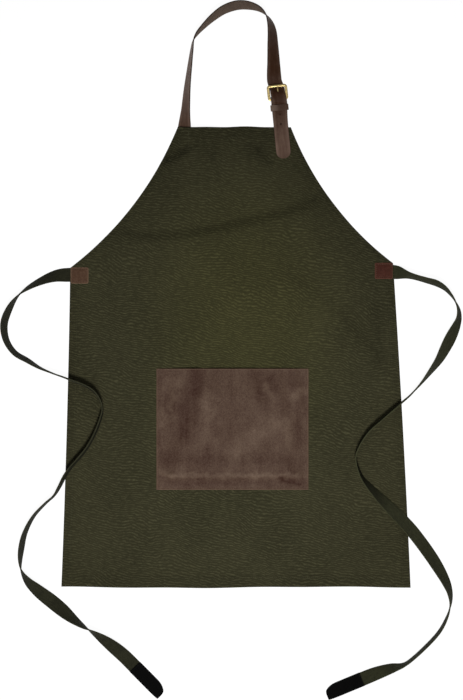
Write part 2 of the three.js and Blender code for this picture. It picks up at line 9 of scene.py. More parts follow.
import bmesh
import bpy
import numpy as np
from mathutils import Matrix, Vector


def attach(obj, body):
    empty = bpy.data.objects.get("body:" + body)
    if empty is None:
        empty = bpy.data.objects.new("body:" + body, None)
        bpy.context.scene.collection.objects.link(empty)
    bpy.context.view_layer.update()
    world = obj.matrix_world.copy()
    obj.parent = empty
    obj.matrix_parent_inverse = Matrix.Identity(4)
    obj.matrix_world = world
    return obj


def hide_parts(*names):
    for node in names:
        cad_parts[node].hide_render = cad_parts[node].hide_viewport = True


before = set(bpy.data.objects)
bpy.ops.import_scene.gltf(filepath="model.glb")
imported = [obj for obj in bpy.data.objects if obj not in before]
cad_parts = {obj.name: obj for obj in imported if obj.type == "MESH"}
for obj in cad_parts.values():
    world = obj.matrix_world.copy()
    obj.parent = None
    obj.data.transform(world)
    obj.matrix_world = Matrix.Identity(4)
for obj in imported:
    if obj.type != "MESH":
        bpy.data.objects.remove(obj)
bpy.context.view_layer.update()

# %% [markdown]
# The picture was taken from straight above, so the camera looks down along Z with Y up in the image.
# A near camera with a wide lens would make the standing tapes lean outwards. A long lens from far away
# keeps them upright, so the distance is large and the lens is worked out from the width of the view.

# %% Camera
VIEW_CENTRE = (-0.0083, -0.1045)
VIEW_HEIGHT = 1.295            # metres that the long side of the image shows
CAMERA_HEIGHT = 8.0

camera_data = bpy.data.cameras.new("overhead")
camera_data.sensor_width = 36
camera_data.lens = camera_data.sensor_width * CAMERA_HEIGHT / VIEW_HEIGHT
camera_data.clip_end = 50
camera = bpy.data.objects.new("overhead", camera_data)
camera.location = (*VIEW_CENTRE, CAMERA_HEIGHT)
bpy.context.collection.objects.link(camera)
bpy.context.scene.camera = camera
print(f"camera: {camera_data.lens:.0f} mm lens, {CAMERA_HEIGHT} m up")

# %% [markdown]
# Two things are needed by every material: a way to write sums with nodes, and a way to add any other
# node. Math nodes could be added and linked one by one, but a long pattern is then hard to read. Here a
# `Value` wraps one output socket, and Python's operators on it add the Math nodes, so that a pattern
# reads like a formula.

# %% Sums with nodes
TAU = 2 * math.pi


class Value:
    """One output socket. Operators on it add Math nodes to the same tree."""

    def __init__(self, finish, socket):
        self.finish, self.socket = finish, socket

    def maths(self, operation, a, b=0.0, clamp=False):
        return self.finish.node("Math", {"operation": operation, "use_clamp": clamp}, {0: a, 1: b})

    def __add__(self, other):
        return self.maths("ADD", self, other)

    def __radd__(self, other):
        return self.maths("ADD", other, self)

    def __sub__(self, other):
        return self.maths("SUBTRACT", self, other)

    def __rsub__(self, other):
        return self.maths("SUBTRACT", other, self)

    def __mul__(self, other):
        return self.maths("MULTIPLY", self, other)

    def __rmul__(self, other):
        return self.maths("MULTIPLY", other, self)

    def sine(self):
        return self.maths("SINE", self)

    def size(self):
        return self.maths("ABSOLUTE", self)

    def clamped(self):
        return self.maths("ADD", self, 0.0, clamp=True)

    def part(self, name):
        """Another output of the node that this value comes from."""
        return Value(self.finish, self.socket.node.outputs[name])


print("sums ready: +, - and * on either side of a number, sine, size and clamped")

# %% [markdown]
# A `Finish` is one material. Its `node` method adds any other node: the settings come first because some
# of them change which sockets the node has. The methods after it are the nodes that most finishes need.

# %% Nodes of a finish
class Finish:
    """One material, written node by node around its Principled shader."""

    def __init__(self, name, **fixed):
        self.material = bpy.data.materials.new(name)
        self.material.use_nodes = True
        self.tree = self.material.node_tree
        self.shader = self.tree.nodes["Principled BSDF"]
        for socket, value in fixed.items():
            self.feed(self.shader.inputs[socket.replace("_", " ")], value)

    def feed(self, socket, value):
        if isinstance(value, Value):
            self.tree.links.new(value.socket, socket)
        else:
            socket.default_value = value

    def node(self, kind, settings=None, sockets=None, out=0):
        made = self.tree.nodes.new("ShaderNode" + kind)
        for key, value in (settings or {}).items():
            setattr(made, key, value)
        for key, value in (sockets or {}).items():
            self.feed(made.inputs[key], value)
        return Value(self, made.outputs[out])

    def place(self, scale=(1, 1, 1)):
        """Object coordinates, stretched."""
        spot = self.node("TexCoord", out="Object")
        return self.node("Mapping", None, {"Vector": spot, "Scale": scale})

    def along(self, scale=(1, 1, 1)):
        """The piece's own map: across its width and along its length, in metres."""
        spot = self.node("UVMap", {"uv_map": "lay"})
        return self.node("Mapping", None, {"Vector": spot, "Scale": scale})

    def noise(self, spot, detail=2.0, rough=0.5, stray=0.0):
        sockets = {"Vector": spot, "Scale": 1.0, "Detail": detail, "Roughness": rough, "Distortion": stray}
        return self.node("TexNoise", None, sockets)

    def between(self, value, low, high):
        """0 at low, 1 at high, and held there beyond them."""
        sockets = {"Value": value, "From Min": low, "From Max": high}
        return self.node("MapRange", {"clamp": True, "interpolation_type": "SMOOTHSTEP"}, sockets)

    def attribute(self, name):
        return self.node("Attribute", {"attribute_name": name}, out="Fac")

    def blend(self, share, first, second):
        """A colour from first to second as share goes from 0 to 1."""
        return self.node("Mix", {"data_type": "RGBA"}, {"Factor": share, 6: first, 7: second}, out=2)

    def surface(self, colour, rough, height, depth):
        """Links colour, roughness and a bump of that depth in metres, and hands the material back."""
        bump = self.node("Bump", None, {"Strength": 1.0, "Distance": depth, "Height": height})
        for socket, value in (("Base Color", colour), ("Roughness", rough), ("Normal", bump)):
            self.feed(self.shader.inputs[socket], value)
        return self.material


def shade(red, green, blue):
    """A colour for a socket, from 0 to 255 as a picture shows it."""
    parts = [c / 255 for c in (red, green, blue)]
    return (*[c / 12.92 if c <= 0.04045 else ((c + 0.055) / 1.055) ** 2.4 for c in parts], 1.0)


print("material helpers ready")

# %% [markdown]
# Most pieces here are strips and sheets. Both are grids of points, so one function closes a stack of
# rings into a skin: quads from ring to ring, and a flat face on each open end. The rings carry their
# place across and along the piece into a UV map named `lay`, which is what weave and grain follow
# where a strip bends. Normals are recalculated once the skin is closed.

# %% From rings of points to a piece
def piece_from(name, points, faces):
    mesh = bpy.data.meshes.new(name)
    mesh.from_pydata(np.asarray(points).tolist(), [], faces)
    shell = bmesh.new()
    shell.from_mesh(mesh)
    bmesh.ops.recalc_face_normals(shell, faces=shell.faces)
    shell.to_mesh(mesh)
    shell.free()
    mesh.shade_smooth()
    made = bpy.data.objects.new(name, mesh)
    bpy.context.collection.objects.link(made)
    return made


def ring_faces(rings, around, looped=False):
    """Quads between rings of points, with a face on each end unless the rings meet."""
    faces = []
    for i in range(rings if looped else rings - 1):
        here, there = i * around, (i + 1) % rings * around
        for k in range(around):
            beside = (k + 1) % around
            faces.append((here + k, here + beside, there + beside, there + k))
    if not looped:
        faces += [tuple(range(around)), tuple((rings - 1) * around + k for k in range(around))]
    return faces


def set_map(piece, values):
    """Writes the UV map `lay` from a pair of metres for each point."""
    layer = piece.data.uv_layers.new(name="lay")
    corners = np.zeros(len(piece.data.loops), int)
    piece.data.loops.foreach_get("vertex_index", corners)
    layer.data.foreach_set("uv", np.asarray(values, np.float32)[corners].ravel())


def set_attribute(piece, name, values):
    made = piece.data.attributes.new(name, "FLOAT", "POINT")
    made.data.foreach_set("value", np.ravel(values).astype(np.float32))


def finish_piece(piece, material, slot, *nodes):
    """Gives a piece its material and its place in the part."""
    piece.data.materials.clear()
    piece.data.materials.append(material)
    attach(piece, "root")
    if nodes:
        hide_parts(*nodes)
    print(f"{piece.name}: {len(piece.data.vertices)} points, {len(piece.data.polygons)} faces")


print("mesh helpers ready")

# %% [markdown]
# The waist ties are cotton tape, and the tape twists as it lies: on edge in the curves, flat where it
# settles. A curve object with a bevel could follow the route, but its twist is hard to pin down row by
# row. So each tie is a ring of points carried along a smooth route. `tilt` turns the ring about the
# route and `lift` is how far its lowest edge is off the floor. The rows are those of the measured part.

# %% Routes of the ties: x, y, tilt in degrees, lift
TAPE_WIDTH, TAPE_THICK = 0.026, 0.0016
LEFT_TIE = [
    (-0.284, 0.0346, 0, 0), (-0.309, 0.0345, 0, 0), (-0.331, 0.0328, 32, 0), (-0.355, 0.025, 54, 0),
    (-0.385, 0.0095, 75, 0), (-0.403, -0.005, 91, 0), (-0.418, -0.027, 114, 0), (-0.4285, -0.0565, 118, 0),
    (-0.4245, -0.086, 111, 0), (-0.409, -0.1095, 108, 0), (-0.385, -0.124, 108, 0), (-0.3625, -0.1375, 96, 0),
    (-0.339, -0.1473, 90, 0.0015), (-0.316, -0.1556, 87, 0.003), (-0.267, -0.177, 84, 0.0029),
    (-0.251, -0.197, 88, 0.0029), (-0.2464, -0.214, 92, 0.0029), (-0.250, -0.231, 95, 0.0029),
    (-0.260, -0.258, 97, 0.0029), (-0.2765, -0.2875, 97, 0.0029), (-0.313, -0.332, 100, 0.0032),
    (-0.326, -0.357, 101, 0.0018), (-0.336, -0.3735, 94, 0.0002), (-0.352, -0.388, 96, 0),
    (-0.374, -0.412, 99, 0), (-0.390, -0.443, 106, 0), (-0.3965, -0.471, 112, 0), (-0.3985, -0.494, 101, 0),
    (-0.3965, -0.511, 86, 0), (-0.385, -0.531, 56, 0), (-0.367, -0.5485, 28, 0), (-0.344, -0.567, 2, 0),
    (-0.322, -0.5845, -20, 0), (-0.3005, -0.602, -56, 0), (-0.281, -0.616, -80, 0),
    (-0.2665, -0.625, -104, 0), (-0.248, -0.6375, -130, 0), (-0.2275, -0.653, -157, 0.0002),
    (-0.207, -0.6705, -176, 0.0006), (-0.187, -0.6905, -180, 0.0008),
]
RIGHT_TIE = [
    (0.269, 0.0403, 0, 0), (0.293, 0.0396, 0, 0), (0.311, 0.0356, 57, 0), (0.329, 0.0308, 71, 0),
    (0.351, 0.0246, 70, 0), (0.370, 0.019, 66, 0), (0.385, 0.0104, 76, 0), (0.396, -0.001, 84, 0),
    (0.4055, -0.015, 92, 0), (0.4115, -0.0305, 104, 0), (0.4118, -0.0455, 112, 0), (0.407, -0.060, 126, 0),
    (0.3983, -0.0786, 145, 0), (0.3885, -0.098, 143, 0), (0.3756, -0.122, 125, 0), (0.359, -0.1447, 109, 0),
    (0.3405, -0.168, 96, 0.0006), (0.322, -0.188, 90, 0.0026), (0.3045, -0.203, 88, 0.003),
    (0.2705, -0.232, 86, 0.0029), (0.2445, -0.2555, 86, 0.0029), (0.229, -0.279, 88, 0.0029),
    (0.2215, -0.3005, 92, 0.0029), (0.224, -0.319, 96, 0.0029), (0.233, -0.3405, 102, 0.0029),
    (0.247, -0.358, 113, 0.0029), (0.283, -0.395, 145, 0.0029), (0.309, -0.421, 153, 0.003),
    (0.3295, -0.444, 153, 0.0018), (0.368, -0.4975, 150, 0), (0.3905, -0.5385, 122, 0),
    (0.3963, -0.5595, 108, 0), (0.396, -0.578, 95, 0), (0.3885, -0.6015, 85, 0), (0.373, -0.6285, 82, 0),
    (0.322, -0.6785, 83, 0), (0.308, -0.687, 80, 0), (0.289, -0.6922, 54, 0), (0.261, -0.7017, 26, 0.0004),
    (0.233, -0.7132, 0, 0.0008),
]
print("tie rows:", len(LEFT_TIE), len(RIGHT_TIE))

# %% [markdown]
# The rows lie unevenly, and a plain spline would swing out between them. A curve whose speed follows the
# root of the distance from row to row stays close to them. Tilt and lift go straight from row to row and
# are then averaged over a span, so that the tape turns at an even pace.

# %% Smooth routes
FLAT_EASE = 0.0004             # keeps the height smooth where a strip turns through lying flat


def through(points, steps):
    """The smooth curve through points, with that many steps to a span, long or short."""
    points = np.asarray(points, float)
    ghosts = np.vstack([2 * points[0] - points[1], points, 2 * points[-1] - points[-2]])
    t = np.linspace(0, 1, steps, endpoint=False)[:, None]
    spans = []
    for a, b, c, d in zip(ghosts, ghosts[1:], ghosts[2:], ghosts[3:]):
        before, span, after = (np.linalg.norm(q - p) ** 0.5 for p, q in ((a, b), (b, c), (c, d)))
        leave = ((b - a) / before - (c - a) / (before + span) + (c - b) / span) * span
        arrive = ((c - b) / span - (d - b) / (span + after) + (d - c) / after) * span
        hold = b * (1 + t * t * (2 * t - 3)) + c * t * t * (3 - 2 * t)
        spans.append(hold + leave * t * (1 - t) ** 2 - arrive * t * t * (1 - t))
    return np.vstack([*spans, points[-1:]])


def eased(values, steps):
    """Values of the rows at every step, straight from row to row and then rounded off at the rows."""
    places = np.arange((len(values) - 1) * steps + 1) / steps
    straight = np.interp(places, np.arange(len(values)), values)
    padded = np.pad(straight, steps // 2, mode="edge")
    return np.convolve(padded, np.ones(steps + 1 - steps % 2) / (steps + 1 - steps % 2), mode="valid")


def lie_of(rows, width, thick, steps):
    """Centres, across and face directions of a strip that stands on its lowest edge."""
    rows = np.asarray(rows, float)
    flat = through(rows[:, :2], steps)
    tilt, lift = np.radians(eased(rows[:, 2], steps)), eased(rows[:, 3], steps)
    run = np.gradient(flat, axis=0)
    run /= np.linalg.norm(run, axis=1)[:, None]
    across = np.stack([-run[:, 1] * np.cos(tilt), run[:, 0] * np.cos(tilt), np.sin(tilt)], axis=1)
    stand = np.sqrt(np.sin(tilt) ** 2 + FLAT_EASE)
    height = lift + (width * stand + thick * np.abs(np.cos(tilt))) / 2
    centre = np.column_stack([flat, height])
    face = np.cross(np.gradient(centre, axis=0), across)
    return centre, across, face / np.linalg.norm(face, axis=1)[:, None]


TIE_STEPS = 8
tie_lies = {side: lie_of(rows, TAPE_WIDTH, TAPE_THICK, TIE_STEPS)
            for side, rows in (("left", LEFT_TIE), ("right", RIGHT_TIE))}
print("places along each tie:", {side: len(lie[0]) for side, lie in tie_lies.items()})

# %% [markdown]
# The tape's section is a thin rectangle with eased corners. It is carried along the route, bowed a little
# across its width, and gets thicker once the tape is clear of its seam.

# %% Strip sections and the two ties
def strip_ring(width, thick, corner, cells):
    """Points round a strip's section, as places across and through it."""
    turn = np.radians(np.linspace(0, 90, 4))[:, None]
    arc = corner * np.hstack([np.sin(turn), 1 - np.cos(turn)])
    half, deep = width / 2, thick / 2
    level = np.linspace(-half + corner, half - corner, cells + 1)[1:-1]
    low = [(a, -deep) for a in level]
    right = [(half - corner + s, -deep + c) for s, c in arc]
    high = [(half - corner + s, deep - c) for s, c in arc[::-1]]
    rising = np.array(low + right + high)
    return np.vstack([rising, -rising])


def strip_piece(name, lie, ring, cup=0.0, narrow=1.0, stout=1.0):
    """A strip with that section, and how far along it each section is.

    cup bows it across its width. narrow and stout scale the width and thickness of each section.
    """
    centre, across, face = lie
    narrow, stout = (np.broadcast_to(share, len(centre))[:, None] for share in (narrow, stout))
    aside = narrow * ring[:, 0]
    bowed = stout * ring[:, 1] + cup * (1 - (ring[:, 0] / ring[:, 0].max()) ** 2)
    points = centre[:, None] + across[:, None] * aside[..., None] + face[:, None] * bowed[..., None]
    made = piece_from(name, points.reshape(-1, 3), ring_faces(len(centre), len(ring)))
    along = np.concatenate([[0], np.cumsum(np.linalg.norm(np.diff(centre, axis=0), axis=1))])
    lay = np.stack(np.broadcast_arrays(aside, along[:, None]), axis=-1)
    set_map(made, lay.reshape(-1, 2))
    return made, along


STOUT_FROM, STOUT_TO, STOUT = 0.05, 0.12, 1.45     # thicker yarn once the tape is clear of its seam
ties, tie_lengths = {}, {}
for side, lie in tie_lies.items():
    ring = strip_ring(TAPE_WIDTH, TAPE_THICK, 0.0007, 12)
    run = np.linalg.norm(np.diff(lie[0], axis=0), axis=1).cumsum()
    stout = np.interp(np.append(0, run), (STOUT_FROM, STOUT_TO), (1, STOUT))
    ties[side], along = strip_piece(f"waist_tie_{side}", lie, ring, cup=0.0006, stout=stout)
    tie_lengths[side] = along[-1]
print("tie lengths:", {side: round(length, 3) for side, length in tie_lengths.items()})

# %% [markdown]
# Tape is woven in a herringbone: short slanted ribs that meet in points. Ribs this fine can't be
# modelled, so they go into the bump. Two sines do it: one runs along the tape, pushed forwards and
# back by where it is across the width. Uneven yarn is a stretched noise that shifts the colour.

# %% Cotton tape
def tape_finish(name, dark, light):
    tape = Finish(name, Specular_IOR_Level=0.12)
    spot = tape.node("UVMap", {"uv_map": "lay"})
    across = tape.node("SeparateXYZ", None, {"Vector": spot}, out="X")
    along = across.part("Y")
    points = (across * (TAU / 0.0065)).sine() * 1.6
    ribs = (along * (TAU / 0.0014) + points).sine()
    yarn = tape.noise(tape.along((420, 130, 1)), detail=3, rough=0.6)
    patchy_tone = tape.noise(tape.place((38, 38, 38)), detail=2)
    edge = tape.between(across.size(), 0.0118, 0.0129)
    share = (yarn * 0.9 + patchy_tone * 0.5 + ribs * 0.09 - 0.26 + edge * 0.5).clamped()
    height = ribs * 0.3 + yarn * 0.8 + edge * 0.4
    return tape.surface(tape.blend(share, dark, light), 0.93 - yarn * 0.1, height, 0.0004)


TAPE = {
    "left": tape_finish("olive_tape_left", shade(20, 20, 13), shade(52, 52, 36)),
    "right": tape_finish("olive_tape_right", shade(24, 24, 15), shade(59, 60, 40)),
}
print("tape finishes:", [finish.name for finish in TAPE.values()])

# %% [markdown]
# Each tie ends in a black fastening tab that laps over the end of the tape. One long edge is straight
# and the other bends in to a blunt end. The tab is lofted like a strip, but its ring gets narrower and
# moves towards the straight edge, so the sections are worked out one by one.

# %% Fastening tabs
TAB = {"width": 0.0268, "end": 0.0160, "length": 0.0725, "thick": 0.0032, "shoulder": 0.026, "lap": 0.001}
TAB_CORNER = 0.0011
TAB_TIP = 0.0028               # rounding of the far corners
TAB_STRAIGHT = {"left": -1, "right": 1}      # which edge stays straight
TAB_SEAM = 0.0019              # how far in from the edge it is sewn


def tab_halves():
    """Places along the tab and its half width at each."""
    half, end, length = TAB["width"] / 2, TAB["end"] / 2, TAB["length"]
    straight = length - TAB["shoulder"]
    bend = length - TAB["shoulder"] / 3
    t = np.linspace(0, 1, 15)
    taper = (1 - t) ** 2 * straight + 2 * t * (1 - t) * bend + t ** 2 * length
    halves = (1 - t ** 2) * half + t ** 2 * end
    places = np.concatenate([[0, 0.0004, 0.0012], np.linspace(0.003, straight, 12)[:-1], taper])
    widths = np.concatenate([[half - 0.0010, half - 0.0003], np.full(12, half), halves])
    tip = length - TAB_TIP * (1 - np.sin(np.linspace(0, 1.53, 9)))
    fine = np.concatenate([places[places < length - TAB_TIP], tip])
    halves_there = np.interp(fine, places, widths)
    into = np.clip((fine - (length - TAB_TIP)) / TAB_TIP, 0, 1)
    return fine, halves_there - TAB_TIP * (1 - np.sqrt(1 - into ** 2))


tabs, tab_rims = {}, {}
for side, (centre, _, _) in tie_lies.items():
    run = (centre[-1] - centre[-2])[:2]
    run = run / np.linalg.norm(run)
    start = centre[-1, :2] - run * TAB["lap"]
    beside = np.array([-run[1], run[0]])
    places, halves = tab_halves()
    shifts = TAB_STRAIGHT[side] * np.maximum(TAB["width"] / 2 - halves, 0) * 0.8
    rings = []
    for place, half, shift in zip(places, halves, shifts):
        soft = min(place / 0.0012, (TAB["length"] - place) / 0.0022, 1) ** 0.5
        share = 0.45 + 0.55 * soft
        ring = strip_ring(2 * half, TAB["thick"] * share, TAB_CORNER * share, 12)
        flat = start + run * place + (ring[:, :1] + shift) * beside
        rings.append(np.column_stack([flat, ring[:, 1] + TAB["thick"] / 2]))
    tabs[side] = piece_from(f"fastening_tab_{side}", np.vstack(rings), ring_faces(len(rings), len(rings[0])))
    tab_rims[side] = [start + np.outer(places, run) + np.outer(shifts + edge * (halves - TAB_SEAM), beside)
                      for edge in (-1, 1)]
print("tabs:", [tab.name for tab in tabs.values()])

# %% [markdown]
# A tab is sewn down all round, and one tab carries soft loops and the other fine hooks. Stitches, loops
# and hooks repeat by the hundred. A loop in Python could place them, but Geometry Nodes do it from a
# line or a surface, with the sizes as named inputs. A small recipe class builds such a tree, sets the
# modifier's inputs by their identifiers, and turns the result into a plain mesh.

# %% Geometry Nodes recipes
class Recipe:
    """A Geometry Nodes tree with named inputs, written node by node."""

    def __init__(self, name, **inputs):
        self.tree = bpy.data.node_groups.new(name, "GeometryNodeTree")
        face = self.tree.interface
        labels = {"Base": "Geometry", **inputs, "Thread": "Material"}
        self.inputs = {label: face.new_socket(label, in_out="INPUT", socket_type="NodeSocket" + kind)
                       for label, kind in labels.items()}
        face.new_socket("Grown", in_out="OUTPUT", socket_type="NodeSocketGeometry")
        self.given = self.tree.nodes.new("NodeGroupInput")

    def take(self, label):
        return self.given.outputs[label]

    def node(self, kind, settings=None, sockets=None, out=0):
        made = self.tree.nodes.new(kind)
        for key, value in (settings or {}).items():
            setattr(made, key, value)
        for key, value in (sockets or {}).items():
            if isinstance(value, bpy.types.NodeSocket):
                self.tree.links.new(value, made.inputs[key])
            else:
                made.inputs[key].default_value = value
        return made.outputs[out]

    def close(self, instances):
        """Real geometry, smooth, with its material, as the tree's result."""
        real = self.node("GeometryNodeRealizeInstances", None, {"Geometry": instances})
        smooth = self.node("GeometryNodeSetShadeSmooth", None, {"Geometry": real})
        dressed = self.node("GeometryNodeSetMaterial", None,
                            {"Geometry": smooth, "Material": self.take("Thread")})
        self.tree.links.new(dressed, self.tree.nodes.new("NodeGroupOutput").inputs["Grown"])

    def grow(self, name, base, **values):
        """Runs the tree on a base mesh and leaves a plain mesh object."""
        host = bpy.data.objects.new(name, base)
        bpy.context.collection.objects.link(host)
        modifier = host.modifiers.new("grow", "NODES")
        modifier.node_group = self.tree
        for label, value in values.items():
            modifier[self.inputs[label].identifier] = value
        grown = bpy.data.meshes.new_from_object(host.evaluated_get(bpy.context.evaluated_depsgraph_get()))
        host.modifiers.clear()
        host.data = grown
        return host


print("recipe class ready")

# %% [markdown]
# A stitch is a small bead of thread. The seam becomes a curve, the curve is cut into equal steps, and
# each step gets a bead turned along the seam. The pile is scattered: points keep a least distance from
# each other on the upper face, and each gets a bent piece of yarn, a half ring for a loop and nearly a
# whole one for a hook, turned at random from a fixed seed.

# %% Stitch and pile recipes
def stitch_recipe():
    row = Recipe("stitch_row", Pitch="Float", Length="Float", Width="Float", Seed="Int")
    line = row.node("GeometryNodeMeshToCurve", None, {"Mesh": row.take("Base")})
    steps = row.node("GeometryNodeResampleCurve", {"mode": "LENGTH"},
                     {"Curve": line, "Length": row.take("Pitch")})
    bead = row.node("GeometryNodeMeshUVSphere", None, {"Segments": 6, "Rings": 5, "Radius": 0.5})
    size = row.node("ShaderNodeCombineXYZ", None,
                    {"X": row.take("Length"), "Y": row.take("Width"), "Z": row.take("Width")})
    shaped = row.node("GeometryNodeTransform", None, {"Geometry": bead, "Scale": size})
    along = row.node("GeometryNodeInputTangent")
    turned = row.node("FunctionNodeAlignRotationToVector", {"axis": "X"}, {"Vector": along})
    uneven = row.node("FunctionNodeRandomValue", {"data_type": "FLOAT_VECTOR"},
                      {0: (0.88, 0.9, 0.85), 1: (1.06, 1.1, 1.1), "Seed": row.take("Seed")})
    placed = row.node("GeometryNodeInstanceOnPoints", None,
                      {"Points": steps, "Instance": shaped, "Rotation": turned, "Scale": uneven})
    row.close(placed)
    return row


STITCH_ROW = stitch_recipe()


def pile_recipe():
    pile = Recipe("tab_pile", Spacing="Float", Radius="Float", Yarn="Float", Bend="Float", Seed="Int")
    spots = pile.node("GeometryNodeDistributePointsOnFaces", {"distribute_method": "POISSON"},
                      {"Mesh": pile.take("Base"), "Distance Min": pile.take("Spacing"), "Density Max": 4.0e6,
                       "Seed": pile.take("Seed")})
    arc = pile.node("GeometryNodeCurveArc", None,
                    {"Resolution": 5, "Radius": pile.take("Radius"), "Sweep Angle": pile.take("Bend")})
    round_yarn = pile.node("GeometryNodeCurvePrimitiveCircle", None,
                           {"Resolution": 4, "Radius": pile.take("Yarn")})
    yarn = pile.node("GeometryNodeCurveToMesh", None, {"Curve": arc, "Profile Curve": round_yarn})
    upright = pile.node("GeometryNodeTransform", None, {"Geometry": yarn, "Rotation": (math.pi / 2, 0, 0)})
    turned = pile.node("FunctionNodeRandomValue", {"data_type": "FLOAT_VECTOR"},
                       {0: (-0.3, -0.3, 0), 1: (0.3, 0.3, TAU), "Seed": pile.take("Seed")})
    placed = pile.node("GeometryNodeInstanceOnPoints", None,
                       {"Points": spots, "Instance": upright, "Rotation": turned})
    pile.close(placed)
    return pile


TAB_PILE = pile_recipe()
for recipe in (STITCH_ROW, TAB_PILE):
    print("recipe:", recipe.tree.name, "with", list(recipe.inputs))

# %% [markdown]
# The tabs are dull black. Their stitches run along the two rims that were kept when the tabs were made,
# and the pile grows from a thin bed between those rims, which is thrown away afterwards.

# %% Tab finish, pile and the ties' place in the part
def tab_finish():
    tab = Finish("black_tab", Specular_IOR_Level=0.05)
    grain = tab.noise(tab.place((900, 900, 900)), detail=3, rough=0.6)
    patchy = tab.noise(tab.place((70, 70, 70)), detail=2)
    colour = tab.blend((grain * 0.7 + patchy * 0.5 - 0.2).clamped(), shade(1, 1, 1), shade(11, 11, 10))
    return tab.surface(colour, 0.62 + grain * 0.3, grain, 0.0004)


def seam_mesh(name, lines):
    """Edges along lines of points."""
    points, edges = [], []
    for line in lines:
        first = len(points)
        points += np.asarray(line).tolist()
        edges += [(k, k + 1) for k in range(first, len(points) - 1)]
    mesh = bpy.data.meshes.new(name)
    mesh.from_pydata(points, edges, [])
    return mesh


def thread_finish(name, dark, light):
    thread = Finish(name, Specular_IOR_Level=0.2)
    twist = thread.noise(thread.place((1800, 1800, 1800)), detail=2)
    return thread.surface(thread.blend(twist, dark, light), 0.8, twist, 0.0002)


BLACK_TAB = tab_finish()
BLACK_THREAD = thread_finish("black_thread", shade(5, 5, 5), shade(26, 26, 25))
PILES = {  # name, least distance, radius of the bend, half the yarn's thickness, how far it bends
    "left": ("hook_pile", 0.00125, 0.00045, 0.00010, math.radians(250)),
    "right": ("loop_pile", 0.00095, 0.00055, 0.00012, math.radians(180)),
}
for side, (pile_name, spacing, radius, yarn, bend) in PILES.items():
    rims = [np.column_stack([rim, np.full(len(rim), TAB["thick"])])[3:-1] for rim in tab_rims[side]]
    seam = np.vstack([rims[0], rims[1][::-1], rims[0][:1]])
    stitches = STITCH_ROW.grow(f"tab_stitches_{side}", seam_mesh("tab_seam", [seam]), Pitch=0.0026,
                               Length=0.0021, Width=0.0006, Seed=3, Thread=BLACK_THREAD)
    bed = piece_from("pile_bed", np.hstack(rims).reshape(-1, 3),
                     [(2 * k, 2 * k + 1, 2 * k + 3, 2 * k + 2) for k in range(len(rims[0]) - 1)])
    pile = TAB_PILE.grow(pile_name, bed.data, Spacing=spacing, Radius=radius, Yarn=yarn, Bend=bend, Seed=4,
                         Thread=BLACK_TAB)
    bpy.data.objects.remove(bed)
    finish_piece(tabs[side], BLACK_TAB, "tab", f"tie_tip_{side}")
    finish_piece(stitches, BLACK_THREAD, "tab")
    finish_piece(pile, BLACK_TAB, "tab")
    finish_piece(ties[side], TAPE[side], "tie_tape", f"tie_{side}")

# %% [markdown]
# The body of the apron is one sheet of heavy canvas, bib and skirt in one, with a turned hem along
# every edge. First comes its outline. Each side edge is an arc at the armhole and almost straight below
# the waist, so one function of the height gives it. A point's share of each hem says how it lies to the
# edges: 0 on the fold of the hem and 1 where the turned cloth ends.

# %% Outline and hems of the canvas
HEM_Y, HEM_LEFT, HEM_RIGHT = -0.5435, -0.323, 0.323
WAIST_LEFT, WAIST_RIGHT = (-0.3065, 0.0475), (0.2905, 0.056)
BIB_Y, BIB_LEFT, BIB_RIGHT = 0.308, -0.1075, 0.1015
ARMHOLE_CUT, SIDE_SWAY = 0.022, 0.0018
SIDE_HEM, ARMHOLE_HEM, BOTTOM_HEM, BIB_HEM = 0.016, 0.012, 0.021, 0.024
CLOTH, TURNED = 0.0012, 0.0012


def smoothstep(x, low, high):
    t = np.clip((x - low) / (high - low), 0, 1)
    return t * t * (3 - 2 * t)


def edge_x(y, corner, top, foot, outward):
    dx, dy = top - corner[0], BIB_Y - corner[1]
    chord = math.hypot(dx, dy)
    radius = (chord ** 2 / 4 + ARMHOLE_CUT ** 2) / (2 * ARMHOLE_CUT)
    off = radius - ARMHOLE_CUT
    middle_x = (top + corner[0]) / 2 + outward * off * dy / chord
    middle_y = (BIB_Y + corner[1]) / 2 + off * abs(dx) / chord
    arc = middle_x - outward * np.sqrt(radius ** 2 - (np.maximum(y, corner[1]) - middle_y) ** 2)
    t = (corner[1] - np.minimum(y, corner[1])) / (corner[1] - HEM_Y)
    side = corner[0] + (foot - corner[0]) * t + SIDE_SWAY * 4 * t * (1 - t)
    return np.where(y > corner[1], arc, side)


def left_x(y):
    return edge_x(y, WAIST_LEFT, BIB_LEFT, HEM_LEFT, -1)


def right_x(y):
    return edge_x(y, WAIST_RIGHT, BIB_RIGHT, HEM_RIGHT, 1)


def hem_run(edge, y, corner):
    """Width of a side hem along a row, wider where the armhole runs aslant."""
    above = np.maximum(y, corner[1] + 0.001)
    slope = (edge(above + 0.001) - edge(above - 0.001)) / 0.002
    armhole = ARMHOLE_HEM * np.minimum(np.hypot(1, slope), 1.6)
    return SIDE_HEM + (armhole - SIDE_HEM) * smoothstep(y, corner[1] - 0.01, corner[1] + 0.01)


def hem_shares(x, y):
    """How far a point is into each hem: left, right, bottom, bib."""
    left = (x - left_x(y)) / hem_run(left_x, y, WAIST_LEFT)
    right = (right_x(y) - x) / hem_run(right_x, y, WAIST_RIGHT)
    return np.stack([left, right, (y - HEM_Y) / BOTTOM_HEM, (BIB_Y - y) / BIB_HEM])


waist = float(right_x(0.04) - left_x(0.04))
print("waist is", round(waist, 3), "m wide, bib", round(BIB_RIGHT - BIB_LEFT, 3))

# %% [markdown]
# The cloth isn't quite flat: broad folds cross the bib and the right hip, and it rises over the strap
# and tie ends that are sewn behind it. A cloth simulation would drop folds wherever it likes. These
# folds have known places, so the height is written as rules: a crest line, a height, and how far each
# side runs out.

